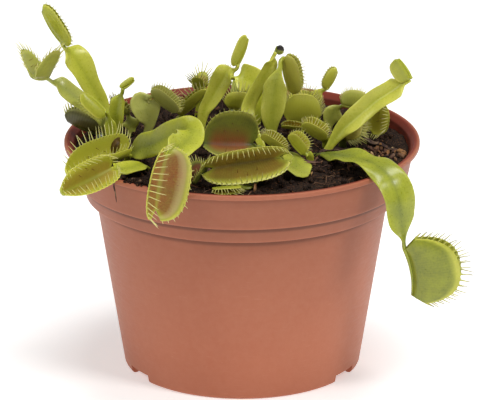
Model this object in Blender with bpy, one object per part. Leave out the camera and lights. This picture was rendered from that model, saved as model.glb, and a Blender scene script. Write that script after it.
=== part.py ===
"""A venus flytrap in a 12 cm nursery pot: the pot, the peat in it and one solid for each leaf.

Lengths in this file are millimetres and angles are degrees; MM turns a length into metres.
The origin is on the surface that the pot stands on, under the middle of the pot, +Z is up and
the side with the hanging leaf faces -Y. A direction is written (azimuth, elevation): azimuth 0
is +X, 90 is +Y, and elevation is measured up from the level.
"""

import math

import bpy
import numpy as np

MM = 0.001
GAP = 0.3                 # clearance between neighbouring pieces

# ------------------------------------------------------------------ pot
RIM_RADIUS = 60.0
POT_HEIGHT = 79.0
BASE_RADIUS = 39.3
WALL = 1.3
LIP_HEIGHT = 1.7
COLLAR_TOP_RADIUS = 58.1
COLLAR_FOOT = (55.8, 65.8)      # radius and height of the collar's lower edge
BAND_FOOT = (52.7, 60.2)        # radius and height of the second band's lower edge
BODY_TOP_RADIUS = 49.6
FLOOR_HEIGHT = 3.2              # underside of the raised floor
FOOT_RING = 1.6
POT_SIDES = 44
NOTCH_WIDTH = 11.5
NOTCH_HEIGHT = 2.9
NOTCH_DIRECTIONS = (-150, -30, 90)
DRAIN_HOLES = 6
DRAIN_RADIUS = 3.5
DRAIN_CIRCLE = 27.0

# ------------------------------------------------------------------ peat
PEAT_LEVEL = 75.8
PEAT_SIDES = 24
PEAT_RINGS = (12.0, 24.0, 36.0, 44.0, 51.0)
HEAP = (-36.0, -43.0, 2.2, 6.5)     # x, y, height and spread of the heap at the rim
ROOT_DEPTH = 5.0                     # how deep each leaf stands in the peat
HOLE_RADIUS = 2.0

# ------------------------------------------------------------------ leaves
ROOT_HALF_WIDTH = 1.3
STALK_HALF_WIDTH = 0.8
RIB_THICKNESS = 1.5
WING_THICKNESS = 0.75
STALK_THICKNESS = 1.3
HINGE_THICKNESS = 1.3
LOBE_THICKNESS = 0.85
MARGIN_THICKNESS = 0.7
STALK_LENGTH = 2.2              # bare stalk between the blade and the hinge
SHOULDER_LENGTH = 3.2           # how far from the stalk the blade reaches its width
DEEP_LOBE = 6.5                 # lobes deeper than this are divided once more
ROUNDNESS = 2.6                 # exponent of the lobe's outline
HINGE_ARCH = 0.05


def direction(azimuth, elevation):
    """The unit vector of a direction in degrees."""
    a, e = math.radians(azimuth), math.radians(elevation)
    return np.array([math.cos(e) * math.cos(a), math.cos(e) * math.sin(a), math.sin(e)])


def unit(vector):
    return vector / np.linalg.norm(vector)


def ease(value, start, end):
    """0 before start, 1 after end, with a soft change between them."""
    t = min(max((value - start) / (end - start), 0.0), 1.0)
    return t * t * (3.0 - 2.0 * t)


# A leaf is its stem, the points of its midrib from the peat to the trap, and its trap.
# width is the blade's greatest half-width and fold the angle by which its wings rise.
# tip is the far end of the trap's hinge, mouth the way the trap opens, depth how far its
# lobes reach, gape the angle of each lobe from the mouth, belly how far a lobe is bowed,
# flare how much longer its margin is than its hinge, bays how many pairs of lashes stand on
# each margin, lash how long they are and lean how far they are turned in from the lobe. peak
# is the share of the stem at which the blade is widest, rows the number of its divisions,
# stalk the bare length before the trap, shoulder the length in which the blade narrows to it,
# wave the height of the blade's ripple and twist the share of the stem from which it turns to
# the trap's mouth. uneven shortens the first lobe, and arch bows the hinge away from the mouth.
LEAVES = {
    "reach_high": dict(
        stem=[(-42.5, 6, 76), (-44.5, 7, 82.5), (-47.5, 8, 88.5), (-50.5, 8, 95), (-56, 7.5, 104.5),
              (-59.5, 7, 109.5), (-60, 6.5, 111)],
        width=5, peak=0.85, fold=10, face=(-60, 25), tip=(-66.5, 5, 122.5), mouth=(-10, 25),
        depth=4.2, gape=(8, 8), belly=35, flare=0.3, bays=6, lash=1.2),
    "reach_wide": dict(
        stem=[(-45, 1, 76), (-46.5, 0, 84.5), (-51.5, -2, 90.5), (-60, -3.5, 98),
              (-63.5, -4, 101), (-65.5, -4, 102.5)],
        width=3.6, peak=0.7, fold=15, face=(-80, 50), tip=(-69.5, -12, 105), mouth=(100, 80),
        depth=11, gape=(32, 32), belly=14, flare=0.3, bays=6, lash=4),
    "behind_left": dict(
        stem=[(-37.5, 14, 76), (-38, 15, 80), (-39.5, 16, 83)],
        width=3.6, peak=0.5, fold=15, face=(-90, 20), tip=(-44, 18, 85.5), mouth=(170, 50),
        depth=4, gape=(10, 10), belly=40, flare=0.4, bays=3, lash=2.5, rows=2),
    "folded_back": dict(
        stem=[(-43, -7.5, 76), (-43.5, -7, 83), (-45, -7, 88.5), (-46.5, -7, 90.5)],
        width=2, peak=0.5, fold=20, face=(-90, 20), tip=(-52.5, -7, 96.5), mouth=(-150, -35),
        depth=4, gape=(10, 10), belly=40, flare=0.3, bays=4, lash=2.5, rows=2),
    "rim_left": dict(
        stem=[(-46, 4, 76), (-48, 4.5, 78.8), (-49.5, 5.5, 80)],
        width=2.4, peak=0.6, fold=20, face=(-90, 60), tip=(-58.5, 7, 83.5), mouth=(170, 50),
        depth=6, gape=(10, 10), belly=38, flare=0.4, bays=4, lash=4, rows=2),
    "spoon_left": dict(
        stem=[(-43.5, -3, 76), (-42.5, -3, 86), (-42, -3, 91), (-41, -3, 95.5), (-40.5, -3, 98)],
        width=2.5, peak=0.6, fold=20, face=(-90, 10), tip=(-36.5, -3, 101), mouth=(150, 50),
        depth=1.3, gape=(6, 6), belly=20, flare=0.1, bays=3, lash=0),
    "dome_back": dict(
        stem=[(-32.5, 13, 76), (-31.5, 13, 80), (-32.5, 13, 85), (-33.5, 14, 88.5), (-30, 13, 90.5)],
        width=5.1, peak=0.6, fold=8, face=(-90, 20), tip=(-23.5, 12, 85), mouth=(-20, 55),
        depth=5, gape=(22, 22), belly=25, flare=0.4, bays=5, lash=1.8, rows=3),
    "rim_front": dict(
        stem=[(-39, -10, 76), (-36, -13, 79), (-31.5, -18, 82.5), (-26, -24, 87), (-21, -29, 91),
              (-17.5, -33, 93.5), (-17, -39, 93), (-19, -47, 92.8), (-22.5, -54, 92.8),
              (-24.5, -59, 92.5)],
        width=4.6, peak=0.15, fold=8, face=(-86, 34), tip=(-28, -62, 75.2), mouth=(-55, 5),
        depth=10, gape=(52, 52), belly=20, flare=0.4, bays=7, lash=4.5, lean=50, rows=6),
    "spread_left": dict(
        stem=[(-39.5, -17, 76), (-38.5, -19, 78.5), (-38, -21, 80.5), (-38.5, -23.5, 81.5)],
        width=1.8, peak=0.5, fold=15, face=(-90, 60), tip=(-57, -48, 83.2), mouth=(-38, 68),
        depth=10.5, gape=(18, 12), uneven=0.55, belly=28, flare=0.1, bays=7, lash=5, rows=2),
    "spread_left_low": dict(
        stem=[(-31.5, -22, 76), (-33, -26, 78.7), (-36.5, -32, 79.5), (-40, -38, 81), (-43, -42, 82.5)],
        width=3.4, peak=0.4, fold=10, face=(-95, 55), tip=(-58.5, -58.5, 80), mouth=(-38, 48),
        depth=8.5, gape=(46, 28), belly=22, flare=0.05, bays=7, lash=4, rows=2),
    "front_wide": dict(
        stem=[(15.5, -5, 76), (17, -13, 78), (18, -22, 78.4), (17.5, -30, 78.8), (15, -34, 81.5),
              (11.5, -37, 84.5)],
        width=5.6, peak=0.55, fold=0, face=(-40, 70), tip=(-9.5, -40, 82), mouth=(-90, 10),
        depth=10, gape=(32, 32), belly=12, flare=0.4, bays=7, lash=2.5, lean=70, rows=4,
        shoulder=4, stalk=3.5),
    "front_low": dict(
        stem=[(7.5, -30, 76), (5.5, -37, 78), (2, -45, 77.6), (-1, -48, 77.8)],
        width=1.6, peak=0.5, fold=20, face=(-90, 60), tip=(-9.5, -51.5, 78.4), mouth=(-110, 0),
        depth=3, gape=(15, 15), belly=20, flare=0.1, bays=3, lash=2, rows=2),
    "centre_red": dict(
        stem=[(9, -2, 76), (6.5, -6, 78), (3.5, -8, 79.5)],
        width=2, peak=0.6, fold=15, face=(-90, 60), tip=(-12.5, -15, 82.3), mouth=(-90, 40),
        depth=13, gape=(48, 36), uneven=0.8, belly=16, flare=0.15, bays=6, lash=2, rows=2),
    "tall_spoon": dict(
        stem=[(-14.5, 10, 76), (-13, 10.5, 84.5), (-11, 11, 88.5), (-8.5, 11, 93.5),
              (-5.5, 10, 98.5), (-2.5, 9, 101), (-2, 9, 102.5)],
        width=3.8, peak=0.8, fold=20, face=(-90, 10), tip=(1.5, 9, 111.5), mouth=(180, 30),
        depth=2.8, gape=(5, 5), belly=25, flare=0.2, bays=3, lash=0),
    "strip_back": dict(
        stem=[(-21, 22, 76), (-21, 22, 79.5), (-20.5, 22, 81)],
        width=1.8, peak=0.6, fold=15, face=(-90, 40), tip=(-12.5, 20, 89), mouth=(200, 45),
        depth=3.5, gape=(12, 12), belly=30, flare=0.2, bays=4, lash=3.5, rows=2),
    "back_rim": dict(
        stem=[(-15, 36, 76), (-14, 36, 81.5), (-12.5, 35, 85), (-13, 35, 86)],
        width=2.4, peak=0.7, fold=20, face=(-90, 40), tip=(-16, 36, 86), mouth=(160, 70),
        depth=5.5, gape=(35, 35), belly=12, flare=0.6, bays=3, lash=3, rows=2),
    "broad_back": dict(
        stem=[(5, 24, 76), (6, 25, 82.5), (6, 26, 87), (4, 27, 90.5), (0, 28, 92),
              (-4, 31, 91)],
        width=4.8, peak=0.5, fold=5, face=(-90, 20), tip=(-9, 35, 87), mouth=(90, 30),
        depth=4, gape=(20, 20), belly=30, flare=0.2, bays=3, lash=2.5),
    "curved_tall": dict(
        stem=[(6.5, 2, 76), (4.5, 4, 79.5), (2.5, 6, 83.5), (2, 8, 87), (4, 8.5, 91.5),
              (6.5, 8, 96.5), (9.5, 7, 102), (12, 6, 107.5)],
        width=2.3, peak=0.3, fold=15, face=(-90, 10), tip=(12.5, 6, 109.5), mouth=(0, 20), stalk=1.2,
        depth=1.8, gape=(8, 8), belly=25, flare=0.3, bays=3, lash=0, rows=6),
    "upright_cup": dict(
        stem=[(10, 4, 76), (10, 4, 83.5), (10.5, 4, 89.5), (11, 4, 95.5), (12, 4, 100),
              (13, 4.5, 102.5), (13.6, 6, 104.4), (14.6, 8, 104.6)],
        width=4.1, peak=0.4, fold=12, face=(-90, 10), tip=(16.4, 9.5, 93.5), mouth=(-15, -15),
        stalk=4.5, shoulder=8, depth=5.5, gape=(12, 12), belly=22, flare=0.3, bays=5, lash=1.6,
        rows=5),
    "round_back": dict(
        stem=[(27, 14, 76), (26, 14, 79), (24.5, 14, 80.5)],
        width=2, peak=0.6, fold=20, face=(-90, 60), tip=(16, 14, 81), mouth=(60, 80),
        depth=11, gape=(20, 20), belly=25, flare=0.5, bays=5, lash=4, rows=2),
    "rolled_small": dict(
        stem=[(20, 8, 76), (19.5, 7, 80.5)],
        width=1.6, peak=0.6, fold=20, face=(-90, 60), tip=(14, 6, 81.5), mouth=(-90, 40),
        depth=3.5, gape=(14, 14), belly=35, flare=0.3, bays=3, lash=1, rows=2),
    "short_yellow": dict(
        stem=[(24.5, 28, 76), (25, 28, 81.5), (25.5, 28, 85), (27, 28, 87), (29, 28, 88.5)],
        width=2.4, peak=0.6, fold=20, face=(-90, 20), tip=(32, 28, 94), mouth=(180, 20),
        depth=3, gape=(25, 25), belly=30, flare=0.3, bays=3, lash=0.8, rows=3),
    "right_open": dict(
        stem=[(39, 15, 76), (41, 14, 77.8), (43, 12.5, 78.4)],
        width=1.8, peak=0.5, fold=15, face=(-60, 60), tip=(43.8, 12, 88.5), mouth=(-100, 15),
        depth=8.5, gape=(12, 58), belly=28, flare=0.3, bays=5, lash=2.5, lean=45, rows=2),
    "right_reach": dict(
        stem=[(28.5, -5, 76), (33, -4, 82.5), (37, -4, 86.5), (41.5, -4, 90.5), (45.5, -4, 94),
              (50, -4, 97), (53.5, -4, 99.5), (56, -4, 101.5)],
        width=3.9, peak=0.4, fold=22, face=(-80, 40), tip=(52, -4, 108), mouth=(180, -28),
        depth=4.3, gape=(5, 5), belly=12, flare=0.1, bays=3, lash=0, rows=5),
    "right_dark": dict(
        stem=[(34, 0, 76), (34, -0.4, 79.2), (34.5, -1, 80.2)],
        width=1.6, peak=0.6, fold=15, face=(-90, 60), tip=(36, 2, 84.5), mouth=(0, 5),
        depth=6, gape=(14, 14), belly=30, flare=0.4, bays=4, lash=2.5, rows=2),
    "white_lashes": dict(
        stem=[(9.5, -12, 76), (11, -12.5, 78), (13.3, -12, 79)],
        width=1.5, peak=0.6, fold=15, face=(-90, 60), tip=(7.5, -10.5, 82.5), mouth=(-55, 50),
        depth=4.8, gape=(16, 16), belly=30, flare=0.4, bays=4, lash=2, rows=2),
    "c_shape": dict(
        stem=[(23, -14.5, 76), (22.5, -15, 78.5), (20.5, -15, 79.2)],
        width=1.6, peak=0.6, fold=15, face=(-90, 60), tip=(16, -13.5, 84), mouth=(-20, 10),
        depth=4.5, gape=(25, 25), belly=25, flare=0.2, bays=4, lash=1.2, rows=2),
    "lashes_up": dict(
        stem=[(28.5, 0.5, 76), (28.2, 0, 79), (27, -1, 79.6)],
        width=1.6, peak=0.6, fold=15, face=(-90, 60), tip=(21, -0.5, 83), mouth=(-40, 60),
        depth=5.2, gape=(20, 20), belly=30, flare=0.4, bays=4, lash=2.5, rows=2),
    "drooping": dict(
        stem=[(25, -8, 76), (28.5, -13, 78), (33.5, -20, 79.5), (39.5, -29, 81.5), (44.5, -37, 82),
              (49, -42.5, 79.5), (51.5, -45, 73.5), (52.5, -45.5, 66.5), (53.5, -45, 60.5),
              (54.5, -44, 55.3)],
        width=5.6, peak=0.35, fold=6, face=(-65, 50), tip=(57.3, -44, 38.8), mouth=(-5, 8), depth=16,
        gape=(7, 7), belly=20, flare=0.4, bays=8, lash=4.6, rows=8, wave=0.8, twist=0.95,
        shoulder=9, arch=-0.06),
    "dark_small": dict(
        stem=[(-10.5, -31, 76), (-11, -34, 78.8), (-12.5, -36, 80)],
        width=1.6, peak=0.6, fold=15, face=(-90, 60), tip=(-16, -44, 78.5), mouth=(-120, 40),
        depth=5, gape=(30, 30), belly=20, flare=0.4, bays=3, lash=2, rows=2),
    "centre_back": dict(
        stem=[(-0.5, 16, 76), (1.5, 16, 83), (2.5, 16, 85)],
        width=1.8, peak=0.6, fold=20, face=(-90, 40), tip=(-4.5, 16, 85.5), mouth=(90, 75),
        depth=5.5, gape=(18, 18), belly=30, flare=0.5, bays=4, lash=3, rows=2),
    "far_left": dict(
        stem=[(-32, 28, 76), (-33, 31, 78.5), (-33.5, 33, 79.2)],
        width=2.4, peak=0.6, fold=15, face=(-90, 60), tip=(-33, 41, 78.5), mouth=(90, 80), depth=3.5,
        gape=(34, 34), belly=20, flare=0.3, bays=3, lash=1, rows=2),
    "far_middle": dict(
        stem=[(-3, 38, 76), (-2.8, 41, 80), (-1.5, 48, 82.3), (0, 56, 83), (1.5, 62, 81.5),
              (2, 65, 77.8)],
        width=2.4, peak=0.5, fold=10, face=(90, 60), tip=(2.5, 67, 69.5), mouth=(90, 8), depth=4,
        gape=(25, 25), belly=25, flare=0.3, bays=4, lash=1.6),
    "far_right": dict(
        stem=[(14, 36, 76), (14.5, 38, 78), (15, 40, 78.5)],
        width=2.4, peak=0.6, fold=15, face=(-90, 60), tip=(17, 48, 79), mouth=(90, 80), depth=4,
        gape=(30, 30), belly=20, flare=0.3, bays=3, lash=2, rows=2),
    "right_up": dict(
        stem=[(29.5, 16, 76), (30, 16.5, 80), (31.5, 16.5, 83.5), (33, 16, 85.5), (34.5, 15.5, 86.5)],
        width=3.4, peak=0.5, fold=15, face=(-60, 50), tip=(41.5, 16, 85.5), mouth=(90, 70),
        depth=5.5, gape=(20, 20), belly=30, flare=0.3, bays=4, lash=1.2, rows=3),
}


# ------------------------------------------------------------------ meshes and materials
def add_object(name, points, faces, colour, roughness):
    """An object from points in millimetres, with a material of its own."""
    mesh = bpy.data.meshes.new(name)
    mesh.from_pydata([tuple(float(c) * MM for c in p) for p in points], [], faces)
    mesh.update()
    mesh.shade_smooth()
    mesh.set_sharp_from_angle(angle=math.radians(50))
    material = bpy.data.materials.new(name)
    material.use_nodes = True
    shader = material.node_tree.nodes["Principled BSDF"]
    shader.inputs["Base Color"].default_value = (*colour, 1.0)
    shader.inputs["Roughness"].default_value = roughness
    mesh.materials.append(material)
    part = bpy.data.objects.new(name, mesh)
    bpy.context.collection.objects.link(part)
    return part


def turned(profile, sides):
    """Points and faces of a profile of (radius, height) pairs turned about the Z axis.

    The profile starts and ends on the axis and runs with the material on its left.
    """
    points, rings = [], []
    for radius, height in profile:
        if radius == 0.0:
            rings.append([len(points)] * sides)
            points.append((0.0, 0.0, height))
            continue
        ring = []
        for k in range(sides):
            angle = 2.0 * math.pi * k / sides
            ring.append(len(points))
            points.append((radius * math.cos(angle), radius * math.sin(angle), height))
        rings.append(ring)
    faces = []
    for lower, upper in zip(rings, rings[1:]):
        for k in range(sides):
            n = (k + 1) % sides
            corners = (lower[k], lower[n], upper[n], upper[k])
            face = tuple(dict.fromkeys(corners))
            if len(face) > 2:
                faces.append(face)
    return points, faces


def cut(part, shapes):
    """Cuts shapes, each given as points and faces, out of a part one after another."""
    for points, faces in shapes:
        cutter = add_object("cutter", points, faces, (0.0, 0.0, 0.0), 1.0)
        cutter.hide_render = True
        cutter.display_type = "WIRE"
        boolean = part.modifiers.new("cut", "BOOLEAN")
        boolean.operation = "DIFFERENCE"
        boolean.solver = "EXACT"
        boolean.object = cutter
        graph = bpy.context.evaluated_depsgraph_get()
        mesh = bpy.data.meshes.new_from_object(part.evaluated_get(graph))
        part.modifiers.clear()
        part.data = mesh
        bpy.data.objects.remove(cutter)


def prism(centre_low, centre_high, radius, sides):
    """Points and faces of a straight prism between two centres."""
    low, high = np.array(centre_low, float), np.array(centre_high, float)
    axis = unit(high - low)
    across = unit(np.cross(axis, (1.0, 0.0, 0.0)))
    other = np.cross(axis, across)
    points = []
    for centre in (low, high):
        for k in range(sides):
            angle = 2.0 * math.pi * k / sides
            points.append(centre + radius * (across * math.cos(angle) + other * math.sin(angle)))
    faces = [tuple(range(sides - 1, -1, -1)), tuple(range(sides, 2 * sides))]
    for k in range(sides):
        n = (k + 1) % sides
        faces.append((k, n, sides + n, sides + k))
    return points, faces


# ------------------------------------------------------------------ pot
def inner_wall():
    """The inside of the pot's wall, from the floor up to the lip."""
    return [
        (BASE_RADIUS - WALL + 0.2, FLOOR_HEIGHT + 1.6),
        (BODY_TOP_RADIUS - WALL, BAND_FOOT[1] + 0.8),
        (BAND_FOOT[0] - WALL, BAND_FOOT[1] + 1.6),
        (COLLAR_FOOT[0] - WALL - 1.3, COLLAR_FOOT[1] + 0.8),
        (COLLAR_FOOT[0] - WALL, COLLAR_FOOT[1] + 1.6),
        (COLLAR_TOP_RADIUS - WALL, POT_HEIGHT - LIP_HEIGHT),
    ]


def pot_profile():
    lip_low = POT_HEIGHT - LIP_HEIGHT
    outside = [
        (0.0, FLOOR_HEIGHT),
        (BASE_RADIUS - FOOT_RING - 0.4, FLOOR_HEIGHT),
        (BASE_RADIUS - FOOT_RING, 0.0),
        (BASE_RADIUS, 0.0),
        (BASE_RADIUS + 0.8, 0.8),
        (BODY_TOP_RADIUS, BAND_FOOT[1] - 0.2),
        (BAND_FOOT[0] - 0.2, BAND_FOOT[1]),
        (BAND_FOOT[0], BAND_FOOT[1] + 0.3),
        (COLLAR_FOOT[0] - 1.4, COLLAR_FOOT[1] - 0.2),
        (COLLAR_FOOT[0] - 0.2, COLLAR_FOOT[1]),
        (COLLAR_FOOT[0], COLLAR_FOOT[1] + 0.3),
        (COLLAR_TOP_RADIUS, lip_low - 0.2),
        (RIM_RADIUS - 0.3, lip_low),
        (RIM_RADIUS, lip_low + 0.5),
        (RIM_RADIUS - 0.7, POT_HEIGHT),
    ]
    inside = list(reversed(inner_wall()))
    inside.append((0.0, FLOOR_HEIGHT + 1.4))
    return outside + [(RIM_RADIUS - 1.7, POT_HEIGHT - 0.4)] + inside


def build_pot():
    points, faces = turned(pot_profile(), POT_SIDES)
    pot = add_object("pot", points, faces, (0.42, 0.16, 0.09), 0.45)
    cutters = []
    for k in range(DRAIN_HOLES):
        angle = 2.0 * math.pi * k / DRAIN_HOLES
        x, y = DRAIN_CIRCLE * math.cos(angle), DRAIN_CIRCLE * math.sin(angle)
        cutters.append(prism((x, y, FLOOR_HEIGHT - 1), (x, y, FLOOR_HEIGHT + 3), DRAIN_RADIUS, 10))
    for azimuth in NOTCH_DIRECTIONS:
        cutters.append(notch(azimuth))
    cut(pot, cutters)


def notch(azimuth):
    """The block that opens the foot ring in one direction."""
    outwards, sideways = direction(azimuth, 0), direction(azimuth + 90, 0)
    points = []
    for z in (-1.0, NOTCH_HEIGHT):
        for reach, side in ((33, -1), (44, -1), (44, 1), (33, 1)):
            flat = outwards * reach + sideways * side * NOTCH_WIDTH / 2.0
            points.append((flat[0], flat[1], z))
    faces = [(3, 2, 1, 0), (4, 5, 6, 7), (0, 1, 5, 4), (1, 2, 6, 5), (2, 3, 7, 6), (3, 0, 4, 7)]
    return points, faces


# ------------------------------------------------------------------ peat
def peat_height(x, y):
    """The uneven top of the peat, with a heap where it reaches the rim."""
    relief = 0.5 * math.sin(0.31 * x + 1.3) * math.cos(0.27 * y)
    relief += 0.3 * math.sin(0.83 * x - 0.5 * y)
    heap_x, heap_y, height, spread = HEAP
    relief += height * math.exp(-((x - heap_x) ** 2 + (y - heap_y) ** 2) / spread ** 2)
    return PEAT_LEVEL + relief


def build_peat(cutters):
    side = [(r - GAP - 0.1, z) for r, z in inner_wall()]
    rim_radius = side[-1][0] - 0.15
    profile = [(0.0, FLOOR_HEIGHT + 1.4 + GAP), (side[0][0] - 0.2, FLOOR_HEIGHT + 1.4 + GAP)]
    profile += side[1:-1]
    profile.append((rim_radius, PEAT_LEVEL))
    profile += [(r, PEAT_LEVEL) for r in reversed(PEAT_RINGS)]
    profile.append((0.0, PEAT_LEVEL))
    points, faces = turned(profile, PEAT_SIDES)
    points = [(x, y, peat_height(x, y) if z >= PEAT_LEVEL else z) for x, y, z in points]
    peat = add_object("peat", points, faces, (0.03, 0.02, 0.015), 0.95)
    cut(peat, cutters)


# ------------------------------------------------------------------ leaves
class Curve:
    """A smooth curve through a few points, read by the share of its length."""

    def __init__(self, points):
        knots = [np.array(p, float) for p in points]
        ends = [2 * knots[0] - knots[1]] + knots + [2 * knots[-1] - knots[-2]]
        steps = 12
        path = []
        for a, b, c, d in zip(ends, ends[1:], ends[2:], ends[3:]):
            for k in range(steps):
                t = k / steps
                path.append(0.5 * (2 * b + (c - a) * t + (2 * a - 5 * b + 4 * c - d) * t * t
                                   + (3 * b - 3 * c + d - a) * t ** 3))
        path.append(knots[-1])
        self.path = np.array(path)
        lengths = np.linalg.norm(np.diff(self.path, axis=0), axis=1)
        self.run = np.concatenate([[0.0], np.cumsum(lengths)])
        self.length = self.run[-1]

    def at(self, share):
        where = share * self.length
        return np.array([np.interp(where, self.run, self.path[:, k]) for k in range(3)])

    def heading(self, share):
        step = 0.02
        return unit(self.at(min(share + step, 1.0)) - self.at(max(share - step, 0.0)))


class Sheet:
    """A leaf's upper face as points and triangles, made solid by a thickness at each point."""

    def __init__(self):
        self.points = []
        self.thickness = []
        self.faces = []
        self.lashes = {}

    def add(self, point, thickness):
        self.points.append(np.array(point, float))
        self.thickness.append(thickness)
        return len(self.points) - 1

    def bridge(self, first, second):
        """Triangles between two rows of points, each read by its share along its own row."""
        i = j = 0
        while i < len(first) - 1 or j < len(second) - 1:
            share_i = (2 * i + 1) / (2 * (len(first) - 1)) if len(first) > 1 else 1.0
            share_j = (2 * j + 1) / (2 * (len(second) - 1)) if len(second) > 1 else 1.0
            if j == len(second) - 1 or (i < len(first) - 1 and share_i <= share_j):
                self.faces.append((first[i], first[i + 1], second[j]))
                i += 1
            else:
                self.faces.append((first[i], second[j + 1], second[j]))
                j += 1

    def solid(self):
        """Points and faces of the closed solid, with a spike wherever a lash stands."""
        top = np.array(self.points)
        normals = np.zeros_like(top)
        for a, b, c in self.faces:
            normals[[a, b, c]] += np.cross(top[b] - top[a], top[c] - top[a])
        normals /= np.linalg.norm(normals, axis=1)[:, None]
        under = top - normals * np.array(self.thickness)[:, None]
        count = len(top)
        points = list(top) + list(under)
        faces = list(self.faces) + [(c + count, b + count, a + count) for a, b, c in self.faces]
        edges = {(f[k], f[(k + 1) % 3]) for f in self.faces for k in range(3)}
        for a, b in sorted(edges):
            if (b, a) in edges:
                continue
            ring = (b, a, a + count, b + count)
            if (a, b) in self.lashes:
                tip = len(points)
                points.append(self.lashes[(a, b)])
                faces.extend((ring[k], ring[(k + 1) % 4], tip) for k in range(4))
            else:
                faces.extend([(ring[0], ring[1], ring[2]), (ring[0], ring[2], ring[3])])
        return points, faces


class Trap:
    """The two lobes of a trap on their hinge."""

    def __init__(self, leaf, start):
        self.leaf = leaf
        self.start = np.array(start, float)
        hinge = np.array(leaf["tip"], float) - self.start
        self.length = np.linalg.norm(hinge)
        self.along = unit(hinge)
        mouth = direction(*leaf["mouth"])
        self.mouth = unit(mouth - self.along * np.dot(mouth, self.along))
        self.across = np.cross(self.along, self.mouth)

    def bend(self, side, v):
        """The lobe's angle from the mouth at v, 0 on the hinge and 1 on the margin."""
        gape = self.leaf["gape"][0 if side < 0 else 1]
        return math.radians(gape + self.leaf["belly"] * (1.0 - 2.0 * v))

    def outline(self, u):
        return (1.0 - abs(2.0 * u - 1.0) ** ROUNDNESS) ** (1.0 / ROUNDNESS)

    def point(self, side, u, v):
        """A point of a lobe, u along the hinge and v out to the margin."""
        start, end = self.bend(side, 0.0), self.bend(side, v)
        if v > 0.0 and abs(end - start) > 1e-6:
            rise = (math.sin(end) - math.sin(start)) / (end - start) * v
            spread = (math.cos(start) - math.cos(end)) / (end - start) * v
        else:
            rise, spread = math.cos(start) * v, math.sin(start) * v
        reach = self.leaf["depth"] * self.outline(u)
        if side < 0:
            reach *= self.leaf.get("uneven", 1.0)
        run = self.length * (u + self.leaf["flare"] * (u - 0.5) * v)
        arch = self.leaf.get("arch", HINGE_ARCH) * self.length * 4.0 * u * (1.0 - u)
        place = self.start + self.along * run + self.mouth * (reach * rise - arch)
        return place + self.across * side * reach * spread

    def lash_tip(self, side, u):
        """The tip of the lash that stands on the margin at u."""
        turn = self.bend(side, 1.0) - math.radians(self.leaf.get("lean", 0.0))
        way = self.mouth * math.cos(turn) + self.across * side * math.sin(turn)
        way = unit(way + self.along * 0.7 * (2.0 * u - 1.0))
        length = self.leaf["lash"] * (1.0 - 0.45 * abs(2.0 * u - 1.0) ** 2)
        return self.point(side, u, 1.0) + way * length


def neck_shares(leaf, length):
    """The shares of the stem that are bare stalk and shoulder, both less on a short stem."""
    stalk, shoulder = leaf.get("stalk", STALK_LENGTH), leaf.get("shoulder", SHOULDER_LENGTH)
    free = length - 1.3 * ROOT_DEPTH
    scale = min(1.0, 0.65 * free / (stalk + 0.9 * shoulder))
    return scale * stalk / length, scale * shoulder / length


def blade_half_width(leaf, share, length):
    """Half the width of the leaf's stem, narrow in the peat, winged above and bare at its end."""
    ground = (ROOT_DEPTH + 1.0) / length
    peak = ground + (1.0 - ground) * leaf["peak"]
    winged = ROOT_HALF_WIDTH + (leaf["width"] - ROOT_HALF_WIDTH) * ease(share, ground, peak)
    stalk, shoulder = neck_shares(leaf, length)
    fall = ease(share, 1.0 - stalk - shoulder, 1.0 - stalk)
    return winged + (STALK_HALF_WIDTH - winged) * fall


def stem_rows(sheet, leaf, curve):
    """The rows of points across the stem, from its root to its bare stalk."""
    stalk, shoulder = neck_shares(leaf, curve.length)
    ground = ROOT_DEPTH * 1.3 / curve.length
    blade_end = 1.0 - stalk - 0.9 * shoulder
    body = leaf.get("rows", 4)
    shares = [0.0, ground]
    shares += [ground + (blade_end - ground) * (k + 1) / body for k in range(body)]
    shares += [1.0 - stalk - 0.4 * shoulder, 1.0 - 0.55 * stalk]
    face, mouth = direction(*leaf["face"]), direction(*leaf["mouth"])
    wave = leaf.get("wave", 0.0)
    rows = []
    for share in shares:
        heading = curve.heading(share)
        turn = ease(share, leaf.get("twist", 0.8), 1.0)
        facing = face * (1.0 - turn) + mouth * turn
        up = unit(facing - heading * np.dot(facing, heading))
        side = np.cross(heading, up)
        half = blade_half_width(leaf, share, curve.length)
        winged = min(max((half - 1.0) / 2.0, 0.0), 1.0)
        fold = math.radians(leaf["fold"]) * winged
        rib = STALK_THICKNESS + (RIB_THICKNESS - STALK_THICKNESS) * winged
        edge = STALK_THICKNESS * 0.75 + (WING_THICKNESS - STALK_THICKNESS * 0.75) * winged
        row = []
        for c in (-1.0, -0.5, 0.0, 0.5, 1.0):
            reach = half * abs(c)
            ripple = wave * winged * c * c * math.sin(14.0 * share + 2.0 * c)
            place = curve.at(share) + side * math.copysign(reach, c) * math.cos(fold)
            place = place + up * (reach * math.sin(fold) + ripple)
            thickness = rib if c == 0.0 else (edge + rib) / 2.0 - 0.2 if abs(c) < 1.0 else edge
            row.append(sheet.add(place, thickness))
        rows.append(row)
    return rows


def margin_shares(side):
    """Where the margin is divided between two rows of a lobe, and which stretches hold a lash."""
    if side < 0:
        return (0.0, 0.25, 0.43, 0.75, 0.93, 1.0), (False, True, False, True, False)
    return (0.0, 0.18, 0.5, 0.68, 1.0), (True, False, True, False)


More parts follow.
